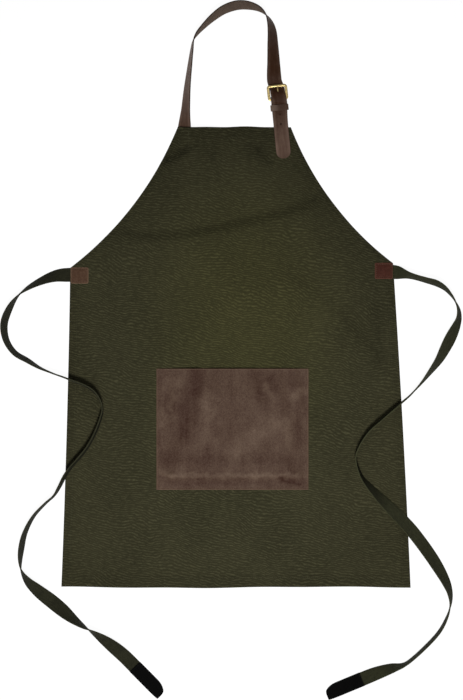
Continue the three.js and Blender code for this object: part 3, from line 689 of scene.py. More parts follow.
# %% Folds and tucks of the canvas
FOLDS = [  # crest from, via, to; height; run-out to the left and right of the crest
    ((-0.185, 0.092), (-0.080, 0.086), (0.130, 0.148), 0.0115, 0.026, 0.150),
    ((0.030, 0.048), (0.150, 0.010), (0.246, -0.125), 0.0065, 0.034, 0.085),
    ((-0.044, 0.300), (-0.050, 0.275), (-0.053, 0.248), 0.0025, 0.020, 0.024),
    ((-0.070, -0.430), (-0.060, -0.490), (-0.064, -0.543), 0.003, 0.045, 0.060),
    ((0.200, -0.430), (0.188, -0.490), (0.196, -0.543), 0.003, 0.060, 0.045),
]
TUCKS = [  # centre x, y; half width and height; rise; slope
    (0.086, 0.296, 0.018, 0.028, 0.0027, 0.030),
    (-0.290, 0.034, 0.027, 0.024, 0.0021, 0.038),
    (0.275, 0.040, 0.027, 0.024, 0.0021, 0.038),
]


def fold_height(x, y, start, via, end, height, left, right):
    t = np.linspace(0, 1, 49)[:, None]
    start, via, end = np.array(start), np.array(via), np.array(end)
    crest = (1 - t) ** 2 * start + 2 * t * (1 - t) * via + t ** 2 * end
    run = (1 - t) * (via - start) + t * (end - via)
    run /= np.linalg.norm(run, axis=1)[:, None]
    gaps = np.hypot(x[..., None] - crest[:, 0], y[..., None] - crest[:, 1])
    near, gap = gaps.argmin(axis=-1), gaps.min(axis=-1)
    turn = run[near, 0] * (y - crest[near, 1]) - run[near, 1] * (x - crest[near, 0])
    reach = (left + right) / 2 + (left - right) / 2 * turn / np.maximum(gap, 1e-6)
    return height * (1 - smoothstep(gap, 0, reach))


def tuck_height(x, y, middle_x, middle_y, half_x, half_y, rise, slope):
    beside = np.maximum(np.abs(x - middle_x) - half_x, 0)
    beyond = np.maximum(np.abs(y - middle_y) - half_y, 0)
    return rise * (1 - smoothstep(np.hypot(beside, beyond), 0, slope))


print("canvas has", len(FOLDS), "folds and", len(TUCKS), "tucks")

# %% [markdown]
# The left corner of the bib is lifted by the strap's end behind it, which leans more and more towards the
# edge. Small creases are strokes, each a line with a height and a reach, and a slow swell keeps the rest
# from looking ironed. Where rises meet, a sum of high powers joins them without a hard line.

# %% Height of the canvas
SEWN = {"y": 0.265, "end": 10, "edge": 30, "x": -0.083, "reach": 0.075, "fade": 0.050, "flat": 0.0031,
        "spare": 0.0015}       # end and edge are tilts in degrees, the rest is in metres
STRAP_WIDTH, STRAP_THICK = 0.027, 0.0022
SWELL_HEIGHT, SWELL_LENGTH = 0.0011, 0.11      # slow unevenness of the whole cloth
CREASES = [  # from, to; height; reach
    ((-0.056, 0.290), (-0.046, 0.258), -0.0032, 0.012),
    ((-0.130, 0.235), (-0.078, 0.265), 0.0045, 0.015),
    ((0.030, 0.266), (0.058, 0.238), 0.0045, 0.013),
    ((0.166, -0.105), (0.180, -0.290), -0.0015, 0.026),
    ((-0.205, -0.060), (-0.190, -0.180), -0.0010, 0.022),
]


def sewn_height(x, y):
    """The corner of the bib, lifted by the leaning end of the neck strap behind it."""
    up = np.clip((y - SEWN["y"]) / (BIB_Y - SEWN["y"]), 0, 1)
    tilt = np.radians(SEWN["end"] + (SEWN["edge"] - SEWN["end"]) * up)
    crest = STRAP_WIDTH * np.sin(tilt) + SEWN["flat"] / np.cos(tilt) + SEWN["spare"] * np.tan(tilt)
    inward = x - SEWN["x"]
    leaning = np.maximum(crest + inward * np.tan(tilt), SEWN["flat"])
    falling = crest * (1 - smoothstep(inward, 0, SEWN["reach"]))
    return np.where(inward < 0, leaning, falling) * smoothstep(y, SEWN["y"] - SEWN["fade"], SEWN["y"])


def line_gap(x, y, start, end):
    (ax, ay), (bx, by) = start, end
    t = np.clip(((x - ax) * (bx - ax) + (y - ay) * (by - ay)) / ((bx - ax) ** 2 + (by - ay) ** 2), 0, 1)
    return np.hypot(x - ax - t * (bx - ax), y - ay - t * (by - ay))


def strokes(x, y, lines):
    """The sum of soft strokes, each with its start, end, amount and reach."""
    return sum(amount * (1 - smoothstep(line_gap(x, y, start, end), 0, reach))
               for start, end, amount, reach in lines)


def waves(x, y, length, seed):
    """A slow, uneven swell from 0 to about 1, from a few sines at fixed random angles."""
    dice = np.random.default_rng(seed)
    total = 0
    for _ in range(7):
        angle, phase = dice.uniform(0, TAU, 2)
        step = TAU / (length * dice.uniform(0.7, 1.6))
        total = total + np.sin(step * (x * np.cos(angle) + y * np.sin(angle)) + phase)
    return 0.5 + total / 9


def canvas_low(x, y):
    """Height of the underside of the canvas."""
    x, y = np.broadcast_arrays(np.asarray(x, float), np.asarray(y, float))
    rises = [sewn_height(x, y)]
    rises += [tuck_height(x, y, *tuck) for tuck in TUCKS]
    rises += [fold_height(x, y, *fold) for fold in FOLDS]
    joined = np.sum(np.array(rises) ** 4, axis=0) ** 0.25
    creased = strokes(x, y, CREASES)
    return np.maximum(joined + SWELL_HEIGHT * waves(x, y, SWELL_LENGTH, 5) + creased, 0)


def canvas_level(x, y):
    """Height of the upper face, hems included, as if the cloth went on past its edge."""
    turned = (1 - smoothstep(hem_shares(x, y), 0.95, 1.06)).max(axis=0)
    return canvas_low(x, y) + CLOTH + TURNED * turned


print("fold crest is", round(float(canvas_low(-0.05, 0.0955)) * 1000, 1), "mm up")

# %% [markdown]
# The sheet itself is a closed grid, with an upper and a lower face. Its columns crowd together at the
# hems, so the step where the turned cloth ends, the pressed-in seam and the rounded fold at the edge
# are real shape and not only bump. Along the seam the cloth puckers a little, as thread pulls it in.

# %% Faces and edges of the canvas
SEAM_SHARE = 0.86              # where the seam runs in a hem
HEM_STATIONS = [0, 0.02, 0.06, 0.12, 0.25, 0.42, 0.58, 0.70, 0.78, 0.82, 0.86, 0.90, 0.95, 1.0, 1.06]
INNER_SHARE = 1.12             # where the even part of the grid starts, in hem widths
FOLD_RADIUS = 0.0012
SEAM_WIDTH, SEAM_DEPTH = 0.0012, 0.0004
PUCKER_LENGTH, PUCKER_DRIFT, PUCKER_HEIGHT = 0.0085, 0.061, 0.00022
HEM_STEP = 0.0004              # how much lower the hems reach than the single cloth


def sheet_piece(name, x, y, low, high):
    """A closed sheet over a grid, with quads round its rim."""
    rows, columns = x.shape
    points = np.concatenate([np.stack([x, y, z], axis=-1).reshape(-1, 3) for z in (low, high)])
    grid = np.arange(rows * columns).reshape(rows, columns)
    cells = np.stack([grid[:-1, :-1], grid[:-1, 1:], grid[1:, 1:], grid[1:, :-1]], axis=-1).reshape(-1, 4)
    loop = np.concatenate([grid[0, :-1], grid[:-1, -1], grid[-1, :0:-1], grid[:0:-1, 0]])
    rim = np.stack([loop, np.roll(loop, -1), np.roll(loop, -1) + x.size, loop + x.size], axis=-1)
    faces = np.concatenate([cells[:, ::-1], cells + x.size, rim])
    return piece_from(name, points, faces.tolist())


def rounded_edge(low, high, inside, radius):
    """Draws both faces of a sheet together over the last stretch to its edge."""
    share = np.clip(inside / radius, 0, 1)
    keep = 0.1 + 0.9 * np.sqrt(1 - (1 - share) ** 2)
    middle = (low + high) / 2
    return middle + (low - middle) * keep, middle + (high - middle) * keep


def canvas_faces(x, y):
    """Lower and upper face of the canvas, with seams, puckers and folded edges."""
    shares = hem_shares(x, y)
    widths = np.array([SIDE_HEM, SIDE_HEM, BOTTOM_HEM, BIB_HEM]).reshape(4, *[1] * x.ndim)
    run = np.stack([y, y, x, x])
    near_seam = np.exp(-((shares - SEAM_SHARE) * widths / SEAM_WIDTH) ** 2)
    pucker = np.sin(run * TAU / PUCKER_LENGTH + 2.2 * np.sin(run * TAU / PUCKER_DRIFT))
    pucker = pucker * np.exp(-((shares - 0.9) / 0.3) ** 2)
    high = canvas_level(x, y) - SEAM_DEPTH * near_seam.max(axis=0) + PUCKER_HEIGHT * pucker.sum(axis=0)
    hollow = smoothstep(shares, 0.96, 1.04).min(axis=0)
    low = canvas_low(x, y) + HEM_STEP * hollow
    return rounded_edge(low, high, (shares * widths).min(axis=0), FOLD_RADIUS)


def waver(x, y):
    """How far the cloth strays along Y at its top and bottom edges, fading inwards."""
    bottom = 0.0011 * np.sin(x * TAU / 0.52 - 0.4) + 0.0005 * np.sin(x * TAU / 0.17)
    top = 0.0008 * np.sin(x * TAU / 0.16 + 0.9) + 0.0004 * np.sin(x * TAU / 0.07)
    return bottom * np.exp((HEM_Y - y) / 0.06) + top * np.exp((y - BIB_Y) / 0.04)


print("rows in a hem:", len(HEM_STATIONS))

# %% [markdown]
# Rows run from the hem to the bib and columns from side to side. Between the hems they are spaced evenly
# over what is left of the width, so the columns follow the armholes and no cell is cut off at an edge.

# %% Canvas panel
stations = np.array(HEM_STATIONS)
row_y = np.concatenate([
    HEM_Y + BOTTOM_HEM * stations,
    np.linspace(HEM_Y + BOTTOM_HEM * INNER_SHARE, WAIST_LEFT[1], 126),
    np.linspace(WAIST_LEFT[1], WAIST_RIGHT[1], 4)[1:],
    np.linspace(WAIST_RIGHT[1], BIB_Y - BIB_HEM * INNER_SHARE, 57)[1:],
    BIB_Y - BIB_HEM * stations[::-1],
])[:, None]
left_run, right_run = hem_run(left_x, row_y, WAIST_LEFT), hem_run(right_x, row_y, WAIST_RIGHT)
inner_from, inner_to = left_x(row_y) + INNER_SHARE * left_run, right_x(row_y) - INNER_SHARE * right_run
panel_x = np.hstack([
    left_x(row_y) + left_run * stations,
    inner_from + (inner_to - inner_from) * np.linspace(0, 1, 118),
    right_x(row_y) - right_run * stations[::-1],
])
panel_y = np.broadcast_to(row_y, panel_x.shape)
strayed = panel_y + waver(panel_x, panel_y)
canvas_panel = sheet_piece("canvas_body", panel_x, strayed, *canvas_faces(panel_x, panel_y))
row_width = (right_x(row_y) - left_x(row_y))[:, 0]

# %% [markdown]
# Heavy canvas shows its yarns: fine ribs across the cloth, and thicker slubs where the yarn is uneven,
# which read as short dashes from afar. An image of cloth would be the usual way, but a formula scales
# to any view. The ribs are sines of the height, bent by a slow noise so that they wander, and the
# slubs are a noise that is stretched along the yarn. Both shift the colour and lift the bump. A painted
# pool of light makes the middle of the skirt a little paler and yellower, which is a distance to a point
# there. Soft strokes, kept as an attribute, are painted shade in creases of the bib and on the hip and
# painted light on the middle of the bib. The hems are painted a little darker, as shade at the edges.

# %% Dark olive canvas
# Painted shade in creases of the bib and on the hip (below 0), and painted light on the middle of the bib
# (above 0).
PAINTED_SHADE_AND_LIGHT = [  # from, to; how much paler or darker the cloth is; reach
    ((-0.126, 0.243), (-0.096, 0.262), -0.20, 0.015),
    ((-0.096, 0.262), (-0.076, 0.270), -0.05, 0.014),
    ((-0.040, 0.279), (-0.038, 0.260), -0.08, 0.017),
    ((0.024, 0.266), (0.054, 0.246), -0.11, 0.017),
    ((-0.080, 0.185), (0.090, 0.200), 0.08, 0.080),
    ((0.260, -0.030), (0.266, -0.140), -0.06, 0.022),
]


def canvas_finish():
    cloth = Finish("dark_olive_canvas", Specular_IOR_Level=0.06)
    from_middle = cloth.node("Mapping", None, {
        "Vector": cloth.place(), "Location": (-0.1, 0.15, 0), "Scale": (5.0, 3.8, 0)})
    reach = cloth.node("VectorMath", {"operation": "LENGTH"}, {0: from_middle}, out="Value")
    # Painted light: paleness is a painted pool of light, highest at a point in the middle of the skirt.
    paleness = 1 - cloth.between(reach, 0.2, 1.3)
    x = cloth.node("SeparateXYZ", None, {"Vector": cloth.place()}, out="X")
    y = x.part("Y")
    drift = cloth.noise(cloth.place((11, 9, 1)), detail=1)
    wobble = cloth.noise(cloth.place((85, 75, 1)), detail=2)
    sway = drift * 65 + wobble * 11
    ribs = (y * (TAU / 0.0047) + x * 300 + sway).sine()
    weft = (y * (TAU / 0.00115) + sway).sine()
    warp = (x * (TAU / 0.0009) + sway).sine()
    slub = cloth.noise(cloth.place((105, 265, 1)), detail=3, rough=0.65, stray=0.3)
    fibre = cloth.noise(cloth.place((700, 1500, 1)), detail=2)
    broad = cloth.noise(cloth.place((9, 7, 1)), detail=2)
    hem = cloth.attribute("hem")
    dashes = ribs * cloth.between(slub, 0.34, 0.66)
    yarns = weft * (0.6 + warp * 0.4)
    # The share holds painted light and shade: paleness adds the painted pool of light.
    share = dashes * 0.34 + slub * 1.0 + yarns * 0.06 + fibre * 0.35 + broad * 0.35 + paleness * 0.06
    # hem darkens the turned hems as painted shade at the edges, and the attribute tone adds painted shade and
    # light.
    share = share - hem * 0.06 + cloth.attribute("tone") - 0.335
    # The painted pool of light also makes the middle of the skirt yellower.
    pale = cloth.blend(paleness, shade(73, 71, 50), shade(76, 74, 46))
    colour = cloth.blend(share.clamped(), shade(25, 24, 14), pale)
    height = dashes * 0.2 + slub * 0.6 + yarns * 0.55 + fibre * 0.3
    return cloth.surface(colour, 0.95 - slub * 0.12, height, 0.0005)


# hem marks the turned hems, which the finish paints darker as shade.
hemmed = (1 - smoothstep(hem_shares(panel_x, panel_y), 0.9, 1.05)).max(axis=0)
set_attribute(canvas_panel, "hem", np.tile(hemmed.ravel(), 2))
# The attribute tone carries the painted shade and painted light of these strokes.
set_attribute(canvas_panel, "tone", np.tile(strokes(panel_x, panel_y, PAINTED_SHADE_AND_LIGHT).ravel(), 2))
finish_piece(canvas_panel, canvas_finish(), "canvas", "canvas_panel")

# %% [markdown]
# The pocket is a piece of soft leather, sewn down on three sides and open at the top. It puffs up
# between its seams, and hands have left dents and a ridge near the bottom. It is made as the canvas
# was, a closed grid whose height is a sum of rules, and it stands on the canvas below it.

# %% Height of the pocket
POCKET_LEFT, POCKET_RIGHT, POCKET_BOTTOM, POCKET_TOP = -0.147, 0.134, -0.363, -0.139
POCKET_SEAM, POCKET_RISE, POCKET_SHOULDER = 0.004, 0.009, 0.050
POCKET_INSET = 0.003           # how far in from its edge the pocket is sewn
LEATHER, LEATHER_EDGE = 0.0016, 0.0009         # thickness, and rounding of a cut edge
GROOVE_DEPTH, GROOVE_WIDTH = 0.0005, 0.0009    # pressed in by the thread
CLEAR = 0.0002                 # between leather and the canvas under it
POCKET_FOLDS = [  # from, to; height; reach
    ((-0.070, -0.139), (-0.104, -0.262), -0.0032, 0.026),
    ((0.044, -0.139), (0.048, -0.190), -0.0024, 0.017),
    ((0.092, -0.150), (0.096, -0.215), -0.0020, 0.018),
    ((0.116, -0.175), (0.120, -0.205), 0.0020, 0.016),
    ((-0.140, -0.329), (-0.120, -0.3375), 0.0022, 0.011),
    ((-0.120, -0.3375), (0.130, -0.3365), 0.0024, 0.011),
    ((-0.126, -0.165), (-0.120, -0.225), -0.0012, 0.012),
    ((0.089, -0.344), (0.116, -0.352), -0.0022, 0.009),
    ((-0.010, -0.210), (-0.022, -0.300), -0.0010, 0.022),
]
GAPES = [(-0.076, 0.020), (0.112, 0.018)]     # where the mouth stands open: x and reach
MOUTH_LOW, MOUTH_RUN = 0.55, 0.055


def pocket_low(x, y):
    inside = np.minimum(np.minimum(x - POCKET_LEFT, POCKET_RIGHT - x), y - POCKET_BOTTOM)
    gape = sum(1 - smoothstep(np.abs(x - middle), 0, reach) for middle, reach in GAPES)
    lowered = MOUTH_LOW * smoothstep(y, POCKET_TOP - MOUTH_RUN, POCKET_TOP) * (1 - gape)
    puff = POCKET_RISE * smoothstep(inside, POCKET_SEAM, POCKET_SEAM + POCKET_SHOULDER) * (1 - lowered)
    free = smoothstep(inside, POCKET_SEAM, POCKET_SEAM + 0.012)
    folds = strokes(x, y, POCKET_FOLDS)
    creep = 0.0007 * waves(x, y, 0.034, 11) + 0.0003 * waves(x, y, 0.013, 12)
    return canvas_level(x, y) + CLEAR + np.maximum(puff + free * (folds + creep), 0)


def pocket_faces(x, y):
    sewn = np.minimum(np.minimum(x - POCKET_LEFT, POCKET_RIGHT - x), y - POCKET_BOTTOM)
    inside = np.minimum(sewn, POCKET_TOP - y)
    low = pocket_low(x, y)
    pressed = GROOVE_DEPTH * np.exp(-((sewn - POCKET_INSET) / GROOVE_WIDTH) ** 2)
    return rounded_edge(low, low + LEATHER - pressed, inside, LEATHER_EDGE)


print("pocket:", round(POCKET_RIGHT - POCKET_LEFT, 3), "by", round(POCKET_TOP - POCKET_BOTTOM, 3), "m")

# %% [markdown]
# Pale edges and a few strokes are kept as attributes of the grid for its finish. The edges are partly
# wear and partly a painted highlight on the cut edge. The strokes are partly wear, such as a pale scratch,
# and partly painted light and shade: painted highlights on puffs and on the ridge near the bottom, and
# painted shade in dents and folds. The strokes wander a little, as no hand is exact.

# %% Leather pocket, its wear and its painted light and shade
def crowded(start, end, step):
    """Places from start to end, close together at both ends."""
    rim = np.array([0, 0.0002, 0.0005, 0.0009, 0.0014, 0.002, 0.0025, 0.003, 0.0035, 0.0042, 0.0052])
    count = round((end - start - 0.014) / step)
    return np.concatenate([start + rim, np.linspace(start + 0.007, end - 0.007, count), end - rim[::-1]])


pocket_x, pocket_y = np.meshgrid(
    crowded(POCKET_LEFT, POCKET_RIGHT, 0.0026), crowded(POCKET_BOTTOM, POCKET_TOP, 0.0026))
pocket = sheet_piece("patch_pocket", pocket_x, pocket_y, *pocket_faces(pocket_x, pocket_y))
rim_gap = np.minimum.reduce([
    pocket_x - POCKET_LEFT, POCKET_RIGHT - pocket_x, pocket_y - POCKET_BOTTOM, POCKET_TOP - pocket_y])
# Strokes of painted light, painted shade and wear: highlights on puffs and the ridge, shade in dents and
# folds, a pale scratch.
SHADE_HIGHLIGHT_AND_WEAR = [  # from, to; reach; paler above 0 and darker below
    ((-0.076, -0.143), (-0.074, -0.178), 0.022, -0.55), ((-0.086, -0.192), (-0.096, -0.262), 0.029, -0.6),
    ((-0.131, -0.166), (-0.0925, -0.166), 0.020, 0.35), ((-0.1193, -0.184), (-0.1175, -0.2285), 0.005, 0.7),
    ((-0.1286, -0.190), (-0.1286, -0.221), 0.006, -0.6), ((-0.139, -0.217), (-0.137, -0.243), 0.010, 0.6),
    ((-0.052, -0.193), (-0.0555, -0.271), 0.024, 0.6), ((0.000, -0.293), (0.0666, -0.243), 0.034, 0.55),
    ((-0.041, -0.243), (-0.033, -0.256), 0.018, -0.35), ((0.035, -0.151), (0.046, -0.184), 0.018, -0.45),
    ((0.052, -0.169), (0.0666, -0.199), 0.007, 0.6), ((0.0666, -0.158), (0.076, -0.175), 0.016, -0.4),
    ((0.102, -0.166), (0.111, -0.177), 0.015, -0.45), ((0.107, -0.1915), (0.124, -0.180), 0.015, 0.8),
    ((0.115, -0.243), (0.118, -0.284), 0.019, -0.45), ((0.0925, -0.234), (0.096, -0.282), 0.010, 0.45),
    ((-0.130, -0.306), (0.120, -0.308), 0.020, -0.3), ((-0.140, -0.327), (-0.120, -0.337), 0.008, 0.8),
    ((-0.120, -0.337), (0.130, -0.336), 0.008, 0.8), ((-0.130, -0.351), (0.070, -0.350), 0.010, -0.3),
    ((0.086, -0.345), (0.114, -0.352), 0.008, -0.8),
]
# Paler edges: partly wear, partly a painted highlight on the cut edge.
wear_and_highlight = np.exp(-(rim_gap / 0.0013) ** 2)
stray_x = pocket_x + 0.011 * (waves(pocket_x, pocket_y, 0.030, 21) - 0.5)
stray_y = pocket_y + 0.007 * (waves(pocket_x, pocket_y, 0.024, 22) - 0.5)
shade_highlight_and_wear = strokes(stray_x, stray_y, [(a, b, strength, reach) for a, b, reach, strength in SHADE_HIGHLIGHT_AND_WEAR])
set_attribute(pocket, "wear_and_highlight", np.tile(wear_and_highlight.ravel(), 2))
set_attribute(pocket, "shade_highlight_and_wear", np.tile(np.clip(shade_highlight_and_wear, -1, 1).ravel(), 2))
print("pocket stands", round((pocket_faces(pocket_x, pocket_y)[1].max()) * 1000, 1), "mm high")

# %% [markdown]
# Leather is grain and colour. The grain is a field of small pebbles with furrows between them: a
# Voronoi texture gives the distance to the nearest pebble's middle, which is the bump. The colour
# drifts in soft blotches and upright streaks and is darker in the furrows. It is paler on marked edges,
# partly wear and partly painted highlight, and the strokes bring painted highlights and painted shade.

# %% Leather
def leather_finish(name, dark, mid, pale, pebble, depth, sheen, streaks=(30, 9, 30)):
    hide = Finish(name, Specular_IOR_Level=sheen)
    pebbles = hide.node("TexVoronoi", {"feature": "SMOOTH_F1"}, {
        "Vector": hide.place(), "Scale": 1 / pebble, "Smoothness": 0.35, "Randomness": 0.95})
    blotch = hide.noise(hide.place((26, 22, 26)), detail=4, rough=0.6, stray=0.4)
    streak = hide.noise(hide.place(streaks), detail=4, rough=0.65)
    speck = hide.noise(hide.place((800, 800, 800)), detail=2)
    mottle = hide.noise(hide.place((330, 290, 330)), detail=2, rough=0.6)
    wear_and_highlight, shade_highlight_and_wear = hide.attribute("wear_and_highlight"), hide.attribute("shade_highlight_and_wear")
    # The strokes bring painted highlights and painted shade, with some wear, broken up by blotches.
    patchy_tone = shade_highlight_and_wear * (0.12 + blotch * 0.5 + mottle * 0.3)
    tone = blotch * 0.6 + streak * 0.5 + mottle * 0.8 + speck * 0.3 - pebbles * 0.18 - 0.56
    tone = (tone + patchy_tone * 0.75).clamped()
    colour = hide.blend(tone, dark, mid)
    # Paler on marked edges: partly wear, partly painted highlight.
    colour = hide.blend((wear_and_highlight * (0.35 + blotch * 0.6)).clamped(), colour, pale)
    rough = 0.62 - tone * 0.14 + speck * 0.12
    return hide.surface(colour, rough, speck * 0.25 - pebbles, depth)


finish_piece(
    pocket,
    leather_finish("brown_pebbled_leather", shade(47, 26, 19), shade(95, 78, 65), shade(106, 84, 70),
                   0.0016, 0.0005, 0.08, streaks=(75, 12, 30)),
    "pocket_leather", "leather_pocket")

# %% [markdown]
# Small leather squares cover the waist corners, where the ties are sewn on behind. Each is a little
# grid with rounded corners, laid over the step of the hem. Its edges are drawn down and a groove is
# pressed where the thread runs, which leaves the middle slightly crowned.

# %% Corner patches
PATCH_WIDTH, PATCH_HEIGHT, PATCH_CORNER, PATCH_INSET = 0.033, 0.030, 0.003, 0.0008
PATCH_SEAM, PATCH_CROWN = 0.0032, 0.0005


def patch_middle(corner, inward):
    return corner[0] + inward * (PATCH_WIDTH / 2 + PATCH_INSET), corner[1] - PATCH_HEIGHT / 2 + PATCH_INSET


def patch_inside(x, y, middle, corner=PATCH_CORNER):
    """Distance to the edge of a patch, from inside it."""
    beside = np.abs(x - middle[0]) - PATCH_WIDTH / 2 + corner
    beyond = np.abs(y - middle[1]) - PATCH_HEIGHT / 2 + corner
    outside = np.hypot(np.maximum(beside, 0), np.maximum(beyond, 0))
    return corner - outside - np.minimum(np.maximum(beside, beyond), 0)


def patch_faces(x, y, middle):
    inside = patch_inside(x, y, middle)
    low = canvas_level(x, y) + CLEAR
    crown = PATCH_CROWN * smoothstep(inside, PATCH_SEAM, 0.011)
    pressed = GROOVE_DEPTH * np.exp(-((inside - PATCH_SEAM) / GROOVE_WIDTH) ** 2)
    return rounded_edge(low, low + LEATHER + crown - pressed, inside, LEATHER_EDGE)


PATCH_LOOKS = {
    "left": leather_finish("brown_patch_leather", shade(56, 35, 24), shade(93, 70, 53),
                           shade(130, 106, 86), 0.0012, 0.0003, 0.08, (150, 110, 60)),
    "right": leather_finish("red_brown_patch_leather", shade(48, 20, 14), shade(79, 44, 32),
                            shade(104, 70, 56), 0.0012, 0.0003, 0.08, (150, 110, 60)),
}
patches, patch_middles = {}, {}
for side, corner, inward in (("left", WAIST_LEFT, 1), ("right", WAIST_RIGHT, -1)):
    middle = patch_middle(corner, inward)
    up = crowded(-PATCH_HEIGHT / 2, PATCH_HEIGHT / 2, 0.0012)
    near_end = np.clip(PATCH_CORNER - (PATCH_HEIGHT / 2 - np.abs(up)), 0, PATCH_CORNER)
    half = PATCH_WIDTH / 2 - PATCH_CORNER + np.sqrt(PATCH_CORNER ** 2 - near_end ** 2)
    share = crowded(-PATCH_WIDTH / 2, PATCH_WIDTH / 2, 0.0012) / (PATCH_WIDTH / 2)
    patch_x = middle[0] + half[:, None] * share
    patch_y = np.broadcast_to(middle[1] + up[:, None], patch_x.shape)
    faces = patch_faces(patch_x, patch_y, middle)
    patches[side] = sheet_piece(f"waist_patch_{side}", patch_x, patch_y, *faces)
    # The rims are painted paler: partly wear, partly painted highlight.
    wear_and_highlight = np.exp(-(patch_inside(patch_x, patch_y, middle) / 0.0012) ** 2)
    set_attribute(patches[side], "wear_and_highlight", np.tile(wear_and_highlight.ravel(), 2))
    finish_piece(patches[side], PATCH_LOOKS[side], "patch_leather", f"corner_patch_{side}")
    patch_middles[side] = middle

# %% [markdown]
# The neck strap is one long strip of leather. It starts behind the left corner of the bib, stands on
# edge up the left side, leans over at the top, and lies flat again where it runs through the buckle to
# its free tail. It is a strip like the ties, so the same functions make it.

# %% Neck strap
HEEL_X, HEEL_Y, LEAN = 0.079, 0.3593, math.radians(6)
NECK_ROWS = [  # x, y, tilt in degrees, lift
    (-0.0976, 0.265, 170, 0), (-0.0964, 0.287, 160, 0), (-0.0952, 0.309, 149, 0), (-0.0944, 0.322, 137, 0),
    (-0.093, 0.340, 125, 0), (-0.090, 0.380, 114, 0), (-0.085, 0.423, 105, 0), (-0.0815, 0.450, 100, 0),
    (-0.0785, 0.468, 93, 0), (-0.0715, 0.4805, 82, 0), (-0.0585, 0.495, 75, 0), (-0.0425, 0.510, 66, 0),
    (-0.022, 0.5245, 58, 0), (0.004, 0.5328, 54, 0), (0.026, 0.5315, 62, 0), (0.044, 0.525, 76, 0),
    (0.0555, 0.5148, 92, 0), (0.0627, 0.5015, 112, 0), (0.0666, 0.4855, 125, 0), (0.0682, 0.458, 136, 0),
    (0.0697, 0.423, 150, 0), (0.0703, 0.404, 167, 0),
]
TAIL_ROWS = [  # along, aside and lift, in the buckle's own frame
    (0.034, -0.0042, 0.0004), (0.028, -0.0028, 0.0006), (0.022, -0.0015, 0.0010), (0.017, -0.0009, 0.0052),
    (0.012, -0.0008, 0.0099), (0.007, -0.0004, 0.0115), (0.001, 0.0009, 0.0118), (-0.005, 0.0014, 0.0107),
    (-0.010, 0.0012, 0.0076), (-0.021, 0.0003, 0.007), (-0.035, -0.0007, 0.0066), (-0.052, -0.0012, 0.0061),
    (-0.075, -0.0014, 0.0058), (-0.099, -0.0016, 0.0053), (-0.105, -0.0016, 0.0052),
    (-0.1085, -0.0016, 0.0051), (-0.110, -0.0016, 0.0051),
]
TAIL_ROUND = 0.0125


def on_buckle(aside, along, up):
    """Points of the buckle's own frame in the frame of the part."""
    aside, along, up = np.broadcast_arrays(aside, along, up)
    x = HEEL_X + aside * math.cos(LEAN) - along * math.sin(LEAN)
    y = HEEL_Y + aside * math.sin(LEAN) + along * math.cos(LEAN)
    return np.stack([x, y, up], axis=-1)


def narrowed(lie, width, corner):
    """Shares of the full width that round off the far end of a strip."""
    to_end = np.linalg.norm(lie[0] - lie[0][-1], axis=1)
    into = np.clip(corner - to_end, 0, corner * 0.98)
    return 1 - 2 * (corner - np.sqrt(corner ** 2 - into ** 2)) / width


tail_spots = [(*on_buckle(aside, along, lift)[:2], 180, lift) for along, aside, lift in TAIL_ROWS]
neck_lie = lie_of([*NECK_ROWS, *tail_spots], STRAP_WIDTH, STRAP_THICK, 8)
strap_ring = strip_ring(STRAP_WIDTH, STRAP_THICK, 0.0006, 14)
neck_strap, neck_along = strip_piece("neck_strap_leather", neck_lie, strap_ring,
                                     narrow=narrowed(neck_lie, STRAP_WIDTH, TAIL_ROUND))
print("neck strap:", round(neck_along[-1], 3), "m long")

# %% [markdown]
# The two faces of a strap differ: the outside is smooth grain and the inside is paler flesh. Attributes
# tell them and the cut edges apart, and one more says how pale the strap is along its length.

# %% Sides of a strap
def mark_faces(strap, sections, paleness):
    """Attributes of a strap: flesh on its inside, cut on its edges, and how pale each section is."""
    flesh = strap_ring[:, 1] > 0
    cut = np.abs(strap_ring[:, 0]) > STRAP_WIDTH / 2 - 0.0004
    set_attribute(strap, "flesh", np.tile(flesh, sections))
    set_attribute(strap, "cut", np.tile(cut, sections))
    set_attribute(strap, "paleness", np.repeat(paleness, len(strap_ring)))


STRAP_PALENESS = [  # along the strap, share
    (0, 0.4), (0.07, 0.45), (0.11, 0.85), (0.2, 0.9), (0.26, 0.5), (0.36, 0.2), (0.42, 0.08), (0.53, 0.08),
    (0.58, 0.45), (0.62, 0.55), (0.72, 0.6),
]
mark_faces(neck_strap, len(neck_along), np.interp(neck_along, *zip(*STRAP_PALENESS)))
print("strap pales from", min(share for _, share in STRAP_PALENESS), "to", max(share for _, share in STRAP_PALENESS))

# %% [markdown]
# The holes are real holes. Punches are made as small closed tubes and taken away with the Boolean
# modifier, whose result becomes the strap's own mesh. Edges sharper than 40 degrees stay sharp, so the
# smooth shading doesn't smear across the rim of a hole.

# %% Punched holes and the prong
PRONG_RADIUS = 0.0013
PRONG_ROWS = [  # along, up
    (0.0267, 0.00935), (0.0227, 0.00935), (0.012, 0.00935), (0.001, 0.00935), (-0.0034, 0.00875),
    (-0.0045, 0.006), (-0.0034, 0.00325), (0, 0.00265), (0.0022, 0.00265),
]
HOLES = [(-0.0006, -0.027), (-0.0011, -0.046)]     # aside, along
HOLE_RADIUS = 0.0017


def round_bar(name, rows, radii, sides):
    """A round bar along places in the buckle's side view, with a radius at each."""
    route = np.asarray(rows)
    run = np.gradient(route, axis=0)
    run /= np.linalg.norm(run, axis=1)[:, None]
    angle = np.linspace(0, TAU, sides, endpoint=False)
    across, rise = np.cos(angle) * radii[:, None], np.sin(angle) * radii[:, None]
    points = on_buckle(across, route[:, :1] - run[:, 1:] * rise, route[:, 1:] + run[:, :1] * rise)
    return piece_from(name, points.reshape(-1, 3), ring_faces(len(route), sides))


